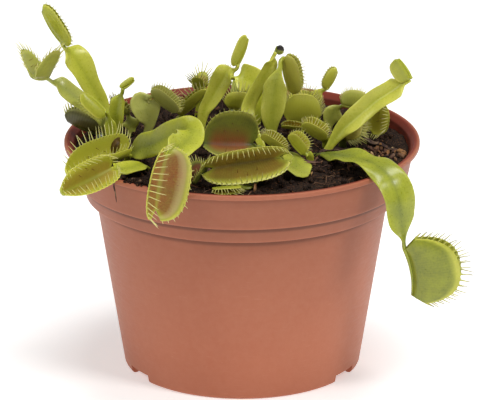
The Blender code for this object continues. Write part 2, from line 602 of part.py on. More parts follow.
def add_margin(sheet, trap, side, inner, rows):
    """The outer band of a lobe, finely divided along its margin, with its lashes."""
    plain = trap.leaf["lash"] == 0
    splits, spikes = ((0.0, 1.0), (False,)) if plain else margin_shares(side)
    ends = [sheet.add(trap.point(side, u, 1.0), MARGIN_THICKNESS) for u in rows]
    for k, (start, end) in enumerate(zip(rows, rows[1:])):
        chain = [ends[k]]
        for split in splits[1:-1]:
            u = start + (end - start) * split
            chain.append(sheet.add(trap.point(side, u, 1.0), MARGIN_THICKNESS))
        chain.append(ends[k + 1])
        pair = [inner[k], inner[k + 1]]
        if side < 0:
            sheet.bridge(pair, chain)
        else:
            sheet.bridge(chain, pair)
        for spike, low, high, a, b in zip(spikes, splits, splits[1:], chain, chain[1:]):
            if spike:
                u = start + (end - start) * (low + high) / 2.0
                edge = (b, a) if side < 0 else (a, b)
                sheet.lashes[edge] = trap.lash_tip(side, u)
    return ends


def trap_rows(sheet, trap, last_row):
    """The two lobes, joined to the last row of the stem."""
    bays = trap.leaf["bays"]
    rows = [0.03 + 0.94 * (0.5 - 0.5 * math.cos(math.pi * (0.12 + 0.76 * k / bays)) - 0.035)
            / 0.93 for k in range(bays + 1)]
    rows[0], rows[-1] = 0.03, 0.97
    columns = []
    stations = ((-1, 0.65), (1, 0.0), (1, 0.65))
    if trap.leaf["depth"] > DEEP_LOBE:
        stations = ((-1, 0.8), (-1, 0.4), (1, 0.0), (1, 0.4), (1, 0.8))
    for side, v in stations:
        thickness = HINGE_THICKNESS if v == 0.0 else LOBE_THICKNESS
        columns.append([sheet.add(trap.point(side, u, v), thickness) for u in rows])
    for left, right in zip(columns, columns[1:]):
        for k in range(bays):
            sheet.faces.append((left[k], right[k], right[k + 1]))
            sheet.faces.append((left[k], right[k + 1], left[k + 1]))
    left_margin = add_margin(sheet, trap, -1, columns[0], rows)
    right_margin = add_margin(sheet, trap, 1, columns[-1], rows)
    first = [left_margin[0]] + [column[0] for column in columns] + [right_margin[0]]
    sheet.bridge(last_row, first)


def build_leaf(name, leaf):
    """One leaf, and the shape of the hole that it stands in."""
    start = np.array(leaf["stem"][0], float)
    lead = unit(np.array(leaf["stem"][1], float) - start)
    lead = unit(lead + np.array([0.0, 0.0, 1.0]))
    root = start - lead * ROOT_DEPTH
    curve = Curve([root] + leaf["stem"])
    sheet = Sheet()
    rows = stem_rows(sheet, leaf, curve)
    for near, far in zip(rows, rows[1:]):
        for k in range(len(near) - 1):
            sheet.faces.append((near[k], near[k + 1], far[k + 1]))
            sheet.faces.append((near[k], far[k + 1], far[k]))
    trap_rows(sheet, Trap(leaf, leaf["stem"][-1]), rows[-1])
    points, faces = sheet.solid()
    add_object("leaf_" + name, points, faces, (0.27, 0.38, 0.04), 0.5)
    under = [points[i + len(sheet.points)] for i in (rows[0][2], rows[1][2])]
    low = (np.array(points[rows[0][2]]) + under[0]) / 2.0
    high = (np.array(points[rows[1][2]]) + under[1]) / 2.0
    way = unit(high - low)
    return prism(low - way * 0.5, high + way * 3.0, HOLE_RADIUS, 5)


def main():
    for thing in list(bpy.data.objects):
        bpy.data.objects.remove(thing)
    build_pot()
    build_peat([build_leaf(name, leaf) for name, leaf in LEAVES.items()])


main()
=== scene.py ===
# %% [markdown]
# # A venus flytrap in a nursery pot
# The plant is a low rosette of 35 leaves in a 12 cm plastic pot. Each leaf has a flat winged
# stalk, a bare neck and a trap: two lobes on a hinge, with a row of lashes on each margin.
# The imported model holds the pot, the peat and every leaf as coarse solids. This file keeps
# their places and sizes and dresses each of them with a finer piece, one per node, so that
# the plant stays one object that can be put in any scene.

import math

import bpy
import numpy as np
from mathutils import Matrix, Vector, noise


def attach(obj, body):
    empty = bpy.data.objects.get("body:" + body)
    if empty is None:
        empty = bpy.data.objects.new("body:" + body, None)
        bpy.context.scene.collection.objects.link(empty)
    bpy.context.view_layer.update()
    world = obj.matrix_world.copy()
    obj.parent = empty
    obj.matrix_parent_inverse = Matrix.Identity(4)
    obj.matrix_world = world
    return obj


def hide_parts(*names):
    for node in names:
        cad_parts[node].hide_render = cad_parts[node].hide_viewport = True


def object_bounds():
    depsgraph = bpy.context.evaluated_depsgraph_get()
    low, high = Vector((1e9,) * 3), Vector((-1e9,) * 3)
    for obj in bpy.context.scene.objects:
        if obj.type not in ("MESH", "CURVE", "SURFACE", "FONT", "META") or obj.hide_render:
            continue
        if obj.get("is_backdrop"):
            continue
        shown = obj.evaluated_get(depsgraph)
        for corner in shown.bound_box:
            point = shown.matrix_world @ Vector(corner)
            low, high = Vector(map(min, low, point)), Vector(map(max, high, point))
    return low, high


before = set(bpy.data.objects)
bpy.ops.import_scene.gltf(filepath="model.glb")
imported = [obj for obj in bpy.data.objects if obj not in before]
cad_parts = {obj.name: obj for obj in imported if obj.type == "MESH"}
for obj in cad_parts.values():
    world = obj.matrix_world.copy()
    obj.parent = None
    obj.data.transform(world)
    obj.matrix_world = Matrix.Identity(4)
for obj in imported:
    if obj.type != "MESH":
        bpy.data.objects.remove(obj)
solid_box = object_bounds()
MM = 0.001
print("solids", len(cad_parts), "box", [tuple(round(c, 4) for c in corner) for corner in solid_box])

# %% [markdown]
# ## Camera
# The plant is seen from far away with a long lens, a little above the rim, so that the round
# rim is a flat ellipse and near and far leaves have the same size. The camera aims at a point
# close to the pot's axis, and its elevation and distance then give its place.

# %% Camera
AIM = Vector((2.7, 0.0, 57.0)) * MM
CAMERA_ELEVATION = math.radians(19.1)
CAMERA_DISTANCE = 1.7
FOCAL_LENGTH = 361.15
lens = bpy.data.cameras.new("camera")
lens.sensor_width = 36.0
lens.lens = FOCAL_LENGTH
lens.clip_end = 60.0
camera = bpy.data.objects.new("camera", lens)
bpy.context.scene.collection.objects.link(camera)
back = Vector((0.0, -math.cos(CAMERA_ELEVATION), math.sin(CAMERA_ELEVATION)))
camera.location = AIM + back * CAMERA_DISTANCE
camera.rotation_euler = (math.pi / 2.0 - CAMERA_ELEVATION, 0.0, 0.0)
bpy.context.scene.camera = camera
print("camera at", [round(c, 3) for c in camera.location])

# %% [markdown]
# ## Pieces from points
# Everything here is grown from formulas, so each piece starts as a list of points in
# millimetres and a list of faces. One function turns them into an object. A second one shades
# it smooth and lets it ride on the plant's only body. Numbers that the finish needs at each
# point, such as how red a trap is there, go along as named attributes.

# %% Make a piece
def add_object(name, points, faces):
    """An object in the scene from points in millimetres."""
    mesh = bpy.data.meshes.new(name)
    mesh.from_pydata((np.asarray(points, float) * MM).tolist(), [], faces)
    mesh.update()
    thing = bpy.data.objects.new(name, mesh)
    bpy.context.scene.collection.objects.link(thing)
    return thing


def add_layer(mesh, layer, values):
    """Writes one number for each point of a mesh, for the finish to read."""
    attribute = mesh.attributes.new(layer, "FLOAT", "POINT")
    attribute.data.foreach_set("value", np.asarray(values, np.float32))


def make_piece(name, points, faces, material, slot):
    """A smooth object that rides on the plant."""
    piece = add_object(name, points, faces)
    piece.data.shade_smooth()
    piece.data.materials.append(material)
    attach(piece, "root")
    return piece


# %% [markdown]
# ## Finishes
# A finish is a small tree of nodes that ends in one Principled shader. These helpers keep
# each recipe short: put a node, feed it, and read its output. Colours are written as the
# usual 0 to 255 screen values and turned into the linear values that the shader takes.

# %% Helpers for finishes
def colour(red, green, blue):
    """A screen colour as a linear one with alpha."""
    shares = [value / 255.0 for value in (red, green, blue)]
    linear = [c / 12.92 if c <= 0.04045 else ((c + 0.055) / 1.055) ** 2.4 for c in shares]
    return (*linear, 1.0)


def new_finish(name):
    """A material with its tree of nodes and its shader."""
    material = bpy.data.materials.new(name)
    material.use_nodes = True
    return material, material.node_tree, material.node_tree.nodes["Principled BSDF"]


def feed(tree, node, inputs):
    """Links an input of a node to a socket, or sets it to a value."""
    for key, value in inputs.items():
        if isinstance(value, bpy.types.NodeSocket):
            tree.links.new(value, node.inputs[key])
        else:
            node.inputs[key].default_value = value


def put(tree, kind, inputs=None, **settings):
    """A node of a kind, with its settings and what its inputs are fed with."""
    node = tree.nodes.new("ShaderNode" + kind)
    for key, value in settings.items():
        setattr(node, key, value)
    feed(tree, node, inputs or {})
    return node


def ramp(tree, factor, stops):
    """A colour ramp through (place, colour) stops."""
    node = put(tree, "ValToRGB", {"Fac": factor})
    elements = node.color_ramp.elements
    while len(elements) < len(stops):
        elements.new(0.5)
    for element, (place, shade) in zip(elements, stops):
        element.position = place
        element.color = shade
    return node.outputs["Color"]


def blend(tree, factor, first, second, mode="MIX"):
    """A mix of two colours. In a colour mix, inputs 6 and 7 and output 2 are the colours."""
    inputs = {0: factor, 6: first, 7: second}
    return put(tree, "Mix", inputs, data_type="RGBA", blend_type=mode).outputs[2]


def calculate(tree, operation, *values):
    return put(tree, "Math", dict(enumerate(values)), operation=operation).outputs[0]


def spread_range(tree, value, low, high, new_low=0.0, new_high=1.0):
    """Maps low..high to new_low..new_high and clamps what lies outside."""
    inputs = {"Value": value, "From Min": low, "From Max": high, "To Min": new_low, "To Max": new_high}
    return put(tree, "MapRange", inputs).outputs["Result"]


def grain(tree, scale, detail=4.0, roughness=0.55, stretch=None):
    """Soft noise over the piece, scale in bumps to the metre."""
    place = put(tree, "TexCoord").outputs["Object"]
    if stretch:
        place = put(tree, "Mapping", {"Vector": place, "Scale": stretch}).outputs["Vector"]
    inputs = {"Vector": place, "Scale": scale, "Detail": detail, "Roughness": roughness}
    return put(tree, "TexNoise", inputs).outputs["Fac"]


def read_layer(tree, name):
    return put(tree, "Attribute", attribute_name=name).outputs["Fac"]


def bump(tree, height, distance_mm):
    """A normal for the shader from a height between 0 and 1."""
    inputs = {"Height": height, "Strength": 1.0, "Distance": distance_mm * MM}
    return put(tree, "Bump", inputs).outputs["Normal"]


# %% [markdown]
# ## Floor and light
# The plant stands on a pale floor that runs far past the view. It is a grid whose far part
# rises gently, as a paper backdrop does in a studio. It gives off a little light of its own, so
# that it stays almost white around the shadows.

# %% Floor
FLOOR_STEPS = 40
RISE_START = 9000.0


def make_floor():
    across = np.linspace(-9000.0, 9000.0, FLOOR_STEPS)
    along = np.linspace(-6000.0, 15000.0, FLOOR_STEPS)
    points = [(x, y, max(y - RISE_START, 0.0) ** 2 / RISE_START) for x in across for y in along]
    n = FLOOR_STEPS
    corners = [i * n + j for i in range(n - 1) for j in range(n - 1)]
    floor = add_object("floor", points, [(a, a + n, a + n + 1, a + 1) for a in corners])
    finish, tree, shader = new_finish("backdrop_paper")
    paper = ramp(tree, grain(tree, 2.0, 2.0), [(0.0, colour(247, 247, 246)), (1.0, colour(250, 250, 250))])
    feed(tree, shader, {"Base Color": paper, "Roughness": 0.9, "Specular IOR Level": 0.1,
                        "Emission Color": (1.0, 1.0, 1.0, 1.0), "Emission Strength": 0.4})
    floor.data.shade_smooth()
    floor.data.materials.append(finish)
    floor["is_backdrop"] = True
    return floor


print("floor has", len(make_floor().data.polygons), "faces")

# %% [markdown]
# One wide light on each side of the plant and one above it give soft edges to all shadows. They
# differ only in a few numbers, so they are a short table and one loop. A weak white sky fills
# the shadows.

# %% Lights
LIGHTS = [  # name, place, height of the aim and width in metres, power in watts and tint
    ("left_softbox", (-1.0, -0.75, 1.0), 0.06, 0.6, 5.0, (1.0, 1.0, 1.0)),
    ("right_softbox", (0.95, -0.8, 1.25), 0.06, 0.45, 11.0, (1.0, 0.99, 0.97)),
    ("top_softbox", (0.1, 0.0, 1.5), 0.07, 0.6, 11.0, (1.0, 1.0, 1.0)),
]
for name, place, aim_height, width, power, tint in LIGHTS:
    lamp = bpy.data.lights.new(name, "AREA")
    lamp.size = width
    lamp.energy = power
    lamp.color = tint
    light = bpy.data.objects.new(name, lamp)
    bpy.context.scene.collection.objects.link(light)
    light.location = place
    way = Vector((0.0, 0.0, aim_height)) - Vector(place)
    light.rotation_euler = way.to_track_quat("-Z", "Y").to_euler()
world = bpy.data.worlds.new("studio")
bpy.context.scene.world = world
world.use_nodes = True
sky = world.node_tree.nodes["Background"]
feed(world.node_tree, sky, {"Color": (1.0, 1.0, 1.0, 1.0), "Strength": 0.17})
bpy.context.scene.view_settings.view_transform = "Standard"
print(len(LIGHTS), "lights of", sum(entry[4] for entry in LIGHTS), "W")

# %% [markdown]
# ## The pot
# The pot is thin moulded plastic in the colour of fired clay: a small lip, a deep collar to
# lift it by, a narrow band under the collar and a plain tapering body on a foot ring. It is
# one profile turned about the axis, so the profile is drawn first. Every corner of a mould
# has a radius, which catches the light, so each corner of the profile is replaced by a short
# arc before it is turned.

# %% The pot's profile
RIM_RADIUS = 60.0
POT_HEIGHT = 79.0
BASE_RADIUS = 39.3
WALL = 1.3
LIP_HEIGHT = 1.7
COLLAR_TOP_RADIUS = 58.1
COLLAR_FOOT = (55.8, 65.8)
BAND_FOOT = (52.7, 60.2)
BODY_TOP_RADIUS = 49.6
FLOOR_HEIGHT = 3.2
FOOT_RING = 1.6
CORNER_RADIUS = 0.45
LONGEST_CUT = 0.45


def round_corners(profile, radius, steps=4):
    """The profile with each inner corner replaced by a small arc."""
    rounded = [profile[0]]
    for before, corner, after in zip(profile, profile[1:], profile[2:]):
        a, b, c = (np.array(p, float) for p in (before, corner, after))
        to_a, to_c = np.linalg.norm(a - b), np.linalg.norm(c - b)
        reach = min(radius, LONGEST_CUT * to_a, LONGEST_CUT * to_c)
        start, end = b + (a - b) / to_a * reach, b + (c - b) / to_c * reach
        for t in np.arange(steps + 1) / steps:
            rounded.append(tuple(start * (1 - t) ** 2 + 2 * b * t * (1 - t) + end * t * t))
    rounded.append(profile[-1])
    return rounded


INNER_WALL = [
    (BASE_RADIUS - WALL + 0.2, FLOOR_HEIGHT + 1.6),
    (BODY_TOP_RADIUS - WALL, BAND_FOOT[1] + 0.8),
    (BAND_FOOT[0] - WALL, BAND_FOOT[1] + 1.6),
    (COLLAR_FOOT[0] - WALL - 1.3, COLLAR_FOOT[1] + 0.8),
    (COLLAR_FOOT[0] - WALL, COLLAR_FOOT[1] + 1.6),
    (COLLAR_TOP_RADIUS - WALL, POT_HEIGHT - LIP_HEIGHT),
]
OUTER_WALL = [
    (0.0, FLOOR_HEIGHT),
    (BASE_RADIUS - FOOT_RING - 0.4, FLOOR_HEIGHT),
    (BASE_RADIUS - FOOT_RING, 0.0),
    (BASE_RADIUS, 0.0),
    (BASE_RADIUS + 0.8, 0.8),
    (BODY_TOP_RADIUS, BAND_FOOT[1] - 0.2),
    BAND_FOOT,
    (COLLAR_FOOT[0] - 1.4, COLLAR_FOOT[1] - 0.2),
    COLLAR_FOOT,
    (COLLAR_TOP_RADIUS, POT_HEIGHT - LIP_HEIGHT - 0.2),
    (RIM_RADIUS, POT_HEIGHT - LIP_HEIGHT),
    (RIM_RADIUS, POT_HEIGHT - 0.1),
    (RIM_RADIUS - 1.7, POT_HEIGHT),
]
pot_outline = round_corners(OUTER_WALL + INNER_WALL[::-1] + [(0.0, FLOOR_HEIGHT + 1.4)], CORNER_RADIUS)
print("pot outline has", len(pot_outline), "points")

# %% [markdown]
# A profile is turned by putting each of its points on a ring of points and joining each ring
# to the next with four-sided faces. A point on the axis is shared by the whole ring, and the
# faces there have three sides. Blender's Screw modifier turns a profile too, but the peat needs
# the same rings with its top lifted point by point, so one function makes both.

# %% Turn a profile
def polar(radius, azimuth, height):
    a = math.radians(azimuth)
    return radius * math.cos(a), radius * math.sin(a), height


def turned(profile, sides):
    """Points and faces of (radius, height) pairs turned about the axis, from axis to axis."""
    points, rings, faces = [], [], []
    for radius, height in profile:
        first = len(points)
        if radius < 1e-6:
            rings.append([first] * sides)
            points.append((0.0, 0.0, height))
        else:
            rings.append(list(range(first, first + sides)))
            points += [polar(radius, 360.0 * k / sides, height) for k in range(sides)]
    for lower, upper in zip(rings, rings[1:]):
        for k in range(sides):
            n = (k + 1) % sides
            face = tuple(dict.fromkeys((lower[k], lower[n], upper[n], upper[k])))
            if len(face) > 2:
                faces.append(face)
    return points, faces


# %% [markdown]
# The foot ring is open in three places and the floor has six drain holes, so that water runs
# out. These are cut with one Boolean whose cutter holds all nine blocks, because they don't
# touch each other.

# %% Cut the foot and the floor
NOTCH_WIDTH = 11.5
NOTCH_HEIGHT = 2.9
NOTCH_REACH = (33.0, 44.0)
NOTCH_DIRECTIONS = (-150, -30, 90)
DRAIN_HOLES = 6
DRAIN_SIDES = 28
DRAIN_RADIUS = 3.5
DRAIN_CIRCLE = 27.0


def block(outline, low, high):
    """Points and faces of a flat outline raised from one height to another."""
    count = len(outline)
    points = [(x, y, low) for x, y in outline] + [(x, y, high) for x, y in outline]
    faces = [tuple(range(count - 1, -1, -1)), tuple(range(count, 2 * count))]
    faces += [(k, (k + 1) % count, count + (k + 1) % count, count + k) for k in range(count)]
    return points, faces


def foot_cutters():
    """A round block for each drain hole and a square one for each notch of the foot ring."""
    shapes = []
    for k in range(DRAIN_HOLES):
        x, y, _ = polar(DRAIN_CIRCLE, 360.0 * k / DRAIN_HOLES, 0.0)
        ring = [polar(DRAIN_RADIUS, 360.0 * n / DRAIN_SIDES, 0.0) for n in range(DRAIN_SIDES)]
        outline = [(x + ring_x, y + ring_y) for ring_x, ring_y, _ in ring]
        shapes.append(block(outline, FLOOR_HEIGHT - 1.0, FLOOR_HEIGHT + 3.0))
    near, far = NOTCH_REACH
    for azimuth in NOTCH_DIRECTIONS:
        out, side = np.array(polar(1.0, azimuth, 0.0)[:2]), np.array(polar(1.0, azimuth + 90, 0.0)[:2])
        corners = [(near, -1), (far, -1), (far, 1), (near, 1)]
        outline = [tuple(out * reach + side * s * NOTCH_WIDTH / 2.0) for reach, s in corners]
        shapes.append(block(outline, -1.0, NOTCH_HEIGHT))
    return shapes


def cut_with(piece, shapes):
    """Cuts several separate blocks out of a piece in one go."""
    points, faces = [], []
    for shape_points, shape_faces in shapes:
        faces += [tuple(i + len(points) for i in face) for face in shape_faces]
        points += shape_points
    cutter = add_object("cutter", points, faces)
    boolean = piece.modifiers.new("cut", "BOOLEAN")
    boolean.operation = "DIFFERENCE"
    boolean.solver = "EXACT"
    boolean.object = cutter
    graph = bpy.context.evaluated_depsgraph_get()
    piece.data = bpy.data.meshes.new_from_object(piece.evaluated_get(graph))
    piece.modifiers.clear()
    bpy.data.objects.remove(cutter)


# %% [markdown]
# The plastic is dyed through, satin rather than glossy, and a little uneven: faint flow marks
# from the mould and fine scratches from stacking. Soft noises at three sizes shift the colour,
# the roughness and the height of the surface. Shade is painted into the colour by height: dark
# lines of painted shadow under the lip, the collar and the band, a wall painted darker high up
# and paler low down, and painted shade on the inside, which is darker and redder.

# %% Clay-coloured plastic
# Painted shade by height: painted shadow lines under the ledges, and a wall darker high up and paler low
# down.
PAINTED_SHADE_BY_HEIGHT = [(0.0, 1.1), (15.0, 1.08), (30.0, 1.0), (45.0, 0.92), (57.4, 0.84), (58.3, 0.5), (59.3, 0.42),
        (60.1, 0.6), (60.3, 0.93), (61.2, 0.78), (63.8, 0.75), (64.5, 0.42), (65.2, 0.36),
        (65.7, 0.5), (65.9, 0.95), (66.9, 0.8), (75.4, 0.79), (76.1, 0.68), (76.7, 0.6),
        (77.2, 0.7), (77.5, 0.95), (79.0, 1.0)]
PAINTED_SHADE_TOP = 80.0
POT_SIDES = 176
SKIN_DEPTH = 0.9
WALL_RADII = [(0.0, BASE_RADIUS), (60.0, BODY_TOP_RADIUS), (66.0, 55.6), (77.3, COLLAR_TOP_RADIUS),
              (POT_HEIGHT, RIM_RADIUS)]


def paint_shade_by_height(tree):
    """A factor for the plastic's colour: painted shadows under the ledges, and painted shade by height."""
    place = put(tree, "TexCoord").outputs["Object"]
    height = put(tree, "SeparateXYZ", {"Vector": place}).outputs["Z"]
    share = calculate(tree, "MULTIPLY", height, 1.0 / (PAINTED_SHADE_TOP * MM))
    return ramp(tree, share, [(z / PAINTED_SHADE_TOP, (f, f, f, 1.0)) for z, f in PAINTED_SHADE_BY_HEIGHT])


def mark_inner_wall(piece):
    """Marks what lies under the outer skin of the wall and above the floor, where shade is painted."""
    places = np.empty(len(piece.data.vertices) * 3)
    piece.data.vertices.foreach_get("co", places)
    x, y, z = places.reshape(-1, 3).T / MM
    outside = np.interp(z, *zip(*WALL_RADII))
    add_layer(piece.data, "inner", (np.hypot(x, y) < outside - SKIN_DEPTH) & (z > 5.0))


def make_pot_plastic():
    finish, tree, shader = new_finish("clay_coloured_plastic")
    broad = grain(tree, 22.0, 3.0)
    fine = grain(tree, 420.0, 5.0, 0.65)
    scuffs = grain(tree, 160.0, 6.0, 0.7, (1.0, 1.0, 9.0))
    body = ramp(tree, broad, [(0.3, colour(172, 102, 75)), (0.7, colour(179, 109, 81))])
    body = blend(tree, spread_range(tree, fine, 0.35, 0.75, 0.0, 0.1), body, colour(206, 148, 122))
    body = blend(tree, spread_range(tree, scuffs, 0.6, 0.72, 0.0, 0.14), body, colour(214, 164, 142))
    # Painted shade: the colour is multiplied by the painted shadows and shade by height.
    body = blend(tree, 1.0, body, paint_shade_by_height(tree), "MULTIPLY")
    # Painted shade: the inside of the wall is darkened and reddened, as shade.
    painted_inner_shade = blend(tree, 1.0, body, (0.5, 0.24, 0.22, 1.0), "MULTIPLY")
    relief = calculate(tree, "ADD", fine, calculate(tree, "MULTIPLY", scuffs, 0.5))
    feed(tree, shader, {
        "Base Color": blend(tree, read_layer(tree, "inner"), body, painted_inner_shade),
        "Roughness": spread_range(tree, scuffs, 0.3, 0.75, 0.4, 0.6),
        "Specular IOR Level": 0.25, "Subsurface Weight": 0.05,
        "Subsurface Radius": (0.004, 0.0015, 0.0008), "Normal": bump(tree, relief, 0.05)})
    return finish


pot = make_piece("pot_body", *turned(pot_outline, POT_SIDES), make_pot_plastic(), "terracotta_plastic")
cut_with(pot, foot_cutters())
mark_inner_wall(pot)
pot.data.shade_smooth()
pot.data.set_sharp_from_angle(angle=math.radians(40))
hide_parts("pot")
print("pot has", len(pot.data.polygons), "faces")

# %% [markdown]
# ## Gathering shapes
# A leaf is made of many small shapes: a blade, a trap, dozens of lashes. They are gathered in
# one pile that keeps their points, faces and finish layers in step, and the pile becomes one
# piece at the end. The layers are read by the leaf's finish:
# tone is how bright the green is, blush how much of the trap's warm inner colour shows, warmth
# which one, pale how creamy it is and, inside some lobes, how much painted sheen it has, grey
# how dull, char how dead, and vein is a distance in millimetres across the veins.

# %% The pile
LAYERS = ("tone", "blush", "warmth", "pale", "grey", "char", "vein")


class Pile:
    """Points, faces and finish layers of many shapes that become one piece."""

    def __init__(self):
        self.points, self.faces, self.count = [], [], 0
        self.layers = {key: [] for key in LAYERS}

    def add(self, points, faces, **layers):
        points = np.asarray(points, float).reshape(-1, 3)
        self.points.append(points)
        self.faces += [tuple(i + self.count for i in face) for face in faces]
        for key in LAYERS:
            values = np.asarray(layers.get(key, 0.0), float)
            values = values.reshape(-1) if values.ndim else values
            self.layers[key].append(np.broadcast_to(values, (len(points),)))
        self.count += len(points)

    def piece(self, name, material, slot):
        piece = make_piece(name, np.vstack(self.points), self.faces, material, slot)
        for key, values in self.layers.items():
            add_layer(piece.data, key, np.concatenate(values))
        return piece


# %% [markdown]
# Lashes, fibres and blades are all skins over a row of closed loops. The loops are joined with
# four-sided faces, and the two ends are closed. A flat section, such as a blade's, is closed
# with strips from its upper to its lower face, because one face with many corners would be
# filled badly there.

# %% Loops and tubes
def unit(vectors):
    return vectors / np.linalg.norm(vectors, axis=-1, keepdims=True)


def skin_faces(rows, loop, upper=None):
    """Faces of rows of closed loops. With upper, the ends are strips across a flat section."""
    faces = []
    for i in range(rows - 1):
        a, b = i * loop, (i + 1) * loop
        faces += [(a + j, a + (j + 1) % loop, b + (j + 1) % loop, b + j) for j in range(loop)]
    for first, flip in ((0, True), ((rows - 1) * loop, False)):
        cap = [tuple(first + j for j in range(loop))]
        if upper:
            under = [0] + [loop - j for j in range(1, upper - 1)] + [upper - 1]
            strips = [(j, j + 1, under[j + 1], under[j]) for j in range(upper - 1)]
            cap = [tuple(dict.fromkeys(first + k for k in strip)) for strip in strips]
        faces += [face[::-1] if flip else face for face in cap]
    return faces


def tube(path, radii, sides=6):
    """Points and faces of a tube along a path, with a radius at each point."""
    path = np.asarray(path, float)
    headings = unit(np.gradient(path, axis=0))
    guide = (0.31, 0.22, 0.93) if abs(headings[0, 2]) < 0.9 else (0.95, 0.3, 0.1)
    side = unit(np.cross(headings, guide))
    up = np.cross(side, headings)
    angles = 2.0 * math.pi * np.arange(sides)[None, :, None] / sides
    ring = side[:, None] * np.cos(angles) + up[:, None] * np.sin(angles)
    points = path[:, None] + ring * np.asarray(radii, float)[:, None, None]
    return points, skin_faces(len(path), sides)


# %% [markdown]
# ## The peat
# Peat is dark, crumbly and full of short brown fibres. Its body fills the pot as in the packed
# model, with a top that is lifted by three sizes of noise. Loose crumbs, slivers of bark and
# thin fibres lie on it, and a little of it has spilled over the rim at the front left, where
# the leaves press against the pot.

# %% The body of the peat
PEAT_LEVEL = 75.8
HEAP_PLACE = (-36.0, -43.0)
HEAP_HEIGHT = 2.2
HEAP_SPREAD = 6.5
PEAT_GAP = 0.4
PEAT_RINGS = 64
PEAT_SIDES = 180
EDGE_FADE = 3.0
EDGE_DROP = 0.5


def peat_height(x, y):
    """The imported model's peat: gentle waves and a heap at the front left."""
    relief = 0.5 * math.sin(0.31 * x + 1.3) * math.cos(0.27 * y)
    relief += 0.3 * math.sin(0.83 * x - 0.5 * y)
    away = (x - HEAP_PLACE[0]) ** 2 + (y - HEAP_PLACE[1]) ** 2
    return PEAT_LEVEL + relief + HEAP_HEIGHT * math.exp(-away / HEAP_SPREAD ** 2)


def crumbly_height(x, y):
    """The peat's top with its clods and crumbs."""
    clods = 1.0 * noise.noise(Vector((x, y, 0.0)) / 6.5) + 0.55 * noise.noise(Vector((x, y, 9.0)) / 2.6)
    return peat_height(x, y) + clods + 0.3 * noise.noise(Vector((x, y, 4.0)) / 1.1)


def make_peat_finish():
    finish, tree, shader = new_finish("damp_peat")
    lumps = grain(tree, 900.0, 6.0, 0.7)
    bits = grain(tree, 2600.0, 2.0, 0.5)
    dark = ramp(tree, lumps, [(0.3, colour(22, 16, 14)), (0.55, colour(43, 32, 26)),
                              (0.75, colour(84, 60, 45))])
    feed(tree, shader, {
        "Base Color": blend(tree, spread_range(tree, bits, 0.62, 0.7), dark, colour(132, 86, 52)),
        "Roughness": spread_range(tree, lumps, 0.3, 0.7, 0.98, 0.8),
        "Specular IOR Level": 0.15, "Normal": bump(tree, lumps, 0.5)})
    return finish


def make_peat():
    side = [(radius - PEAT_GAP, z) for radius, z in INNER_WALL]
    bottom = side[0][1] + 0.1
    edge = side[-1][0] - 0.15
    top = [(edge * (1.0 - k / PEAT_RINGS), PEAT_LEVEL) for k in range(PEAT_RINGS)]
    profile = [(0.0, bottom), (side[0][0] - 0.4, bottom)] + side[1:-1] + top + [(0.0, PEAT_LEVEL)]
    points, faces = turned(profile, PEAT_SIDES)
    lifted = []
    for x, y, z in points:
        if z >= PEAT_LEVEL:
            fade = min((edge - math.hypot(x, y)) / EDGE_FADE, 1.0)
            z = (peat_height(x, y) - EDGE_DROP) * (1.0 - fade) + crumbly_height(x, y) * fade
        lifted.append((x, y, z))
    peat = make_piece("peat_body", lifted, faces, make_peat_finish(), "peat")
    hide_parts("peat")
    return peat


print("peat has", len(make_peat().data.polygons), "faces")

# %% [markdown]
# Crumbs are small distorted lumps of twenty faces. Each is placed at random in a ring or a
# patch with a seeded generator, so that the plant comes out the same each time, and it sinks a
# little into the peat under it. Seventy more crumbs lie on the rim where peat has spilled.
# Geometry nodes could scatter them as well. A loop is used because all crumbs are one piece.

# %% Crumbs of peat
GOLDEN = (1.0 + math.sqrt(5.0)) / 2.0
LUMP_POINTS = unit(np.array([
    (-1, GOLDEN, 0), (1, GOLDEN, 0), (-1, -GOLDEN, 0), (1, -GOLDEN, 0),
    (0, -1, GOLDEN), (0, 1, GOLDEN), (0, -1, -GOLDEN), (0, 1, -GOLDEN),
    (GOLDEN, 0, -1), (GOLDEN, 0, 1), (-GOLDEN, 0, -1), (-GOLDEN, 0, 1)]))
LUMP_FACES = [(0, 11, 5), (0, 5, 1), (0, 1, 7), (0, 7, 10), (0, 10, 11), (1, 5, 9), (5, 11, 4),
              (11, 10, 2), (10, 7, 6), (7, 1, 8), (3, 9, 4), (3, 4, 2), (3, 2, 6), (3, 6, 8),
              (3, 8, 9), (4, 9, 5), (2, 4, 11), (6, 2, 10), (8, 6, 7), (9, 8, 1)]
SPILL_AZIMUTH = -128.0
chance = np.random.default_rng(7)


def random_turn(generator):
    """A random rotation matrix."""
    matrix, _ = np.linalg.qr(generator.normal(size=(3, 3)))
    return matrix if np.linalg.det(matrix) > 0 else -matrix


def add_lump(pile, place, size, stretch=(1.0, 1.0, 1.0), **layers):
    shape = LUMP_POINTS * chance.uniform(0.75, 1.2, (12, 1)) * np.array(stretch) * size
    pile.add(shape @ random_turn(chance).T + place, LUMP_FACES, **layers)


def scatter(count, reach, centre=(0.0, 0.0), radius=None):
    """Places on the peat within a radius of a centre, and all within a reach of the axis."""
    radius = radius or reach
    angles, shares = chance.uniform(0, 2 * math.pi, count), np.sqrt(chance.uniform(0, 1, count))
    places = [(centre[0] + radius * share * math.cos(angle), centre[1] + radius * share * math.sin(angle))
              for angle, share in zip(angles, shares)]
    return [(x, y) for x, y in places if math.hypot(x, y) < reach]


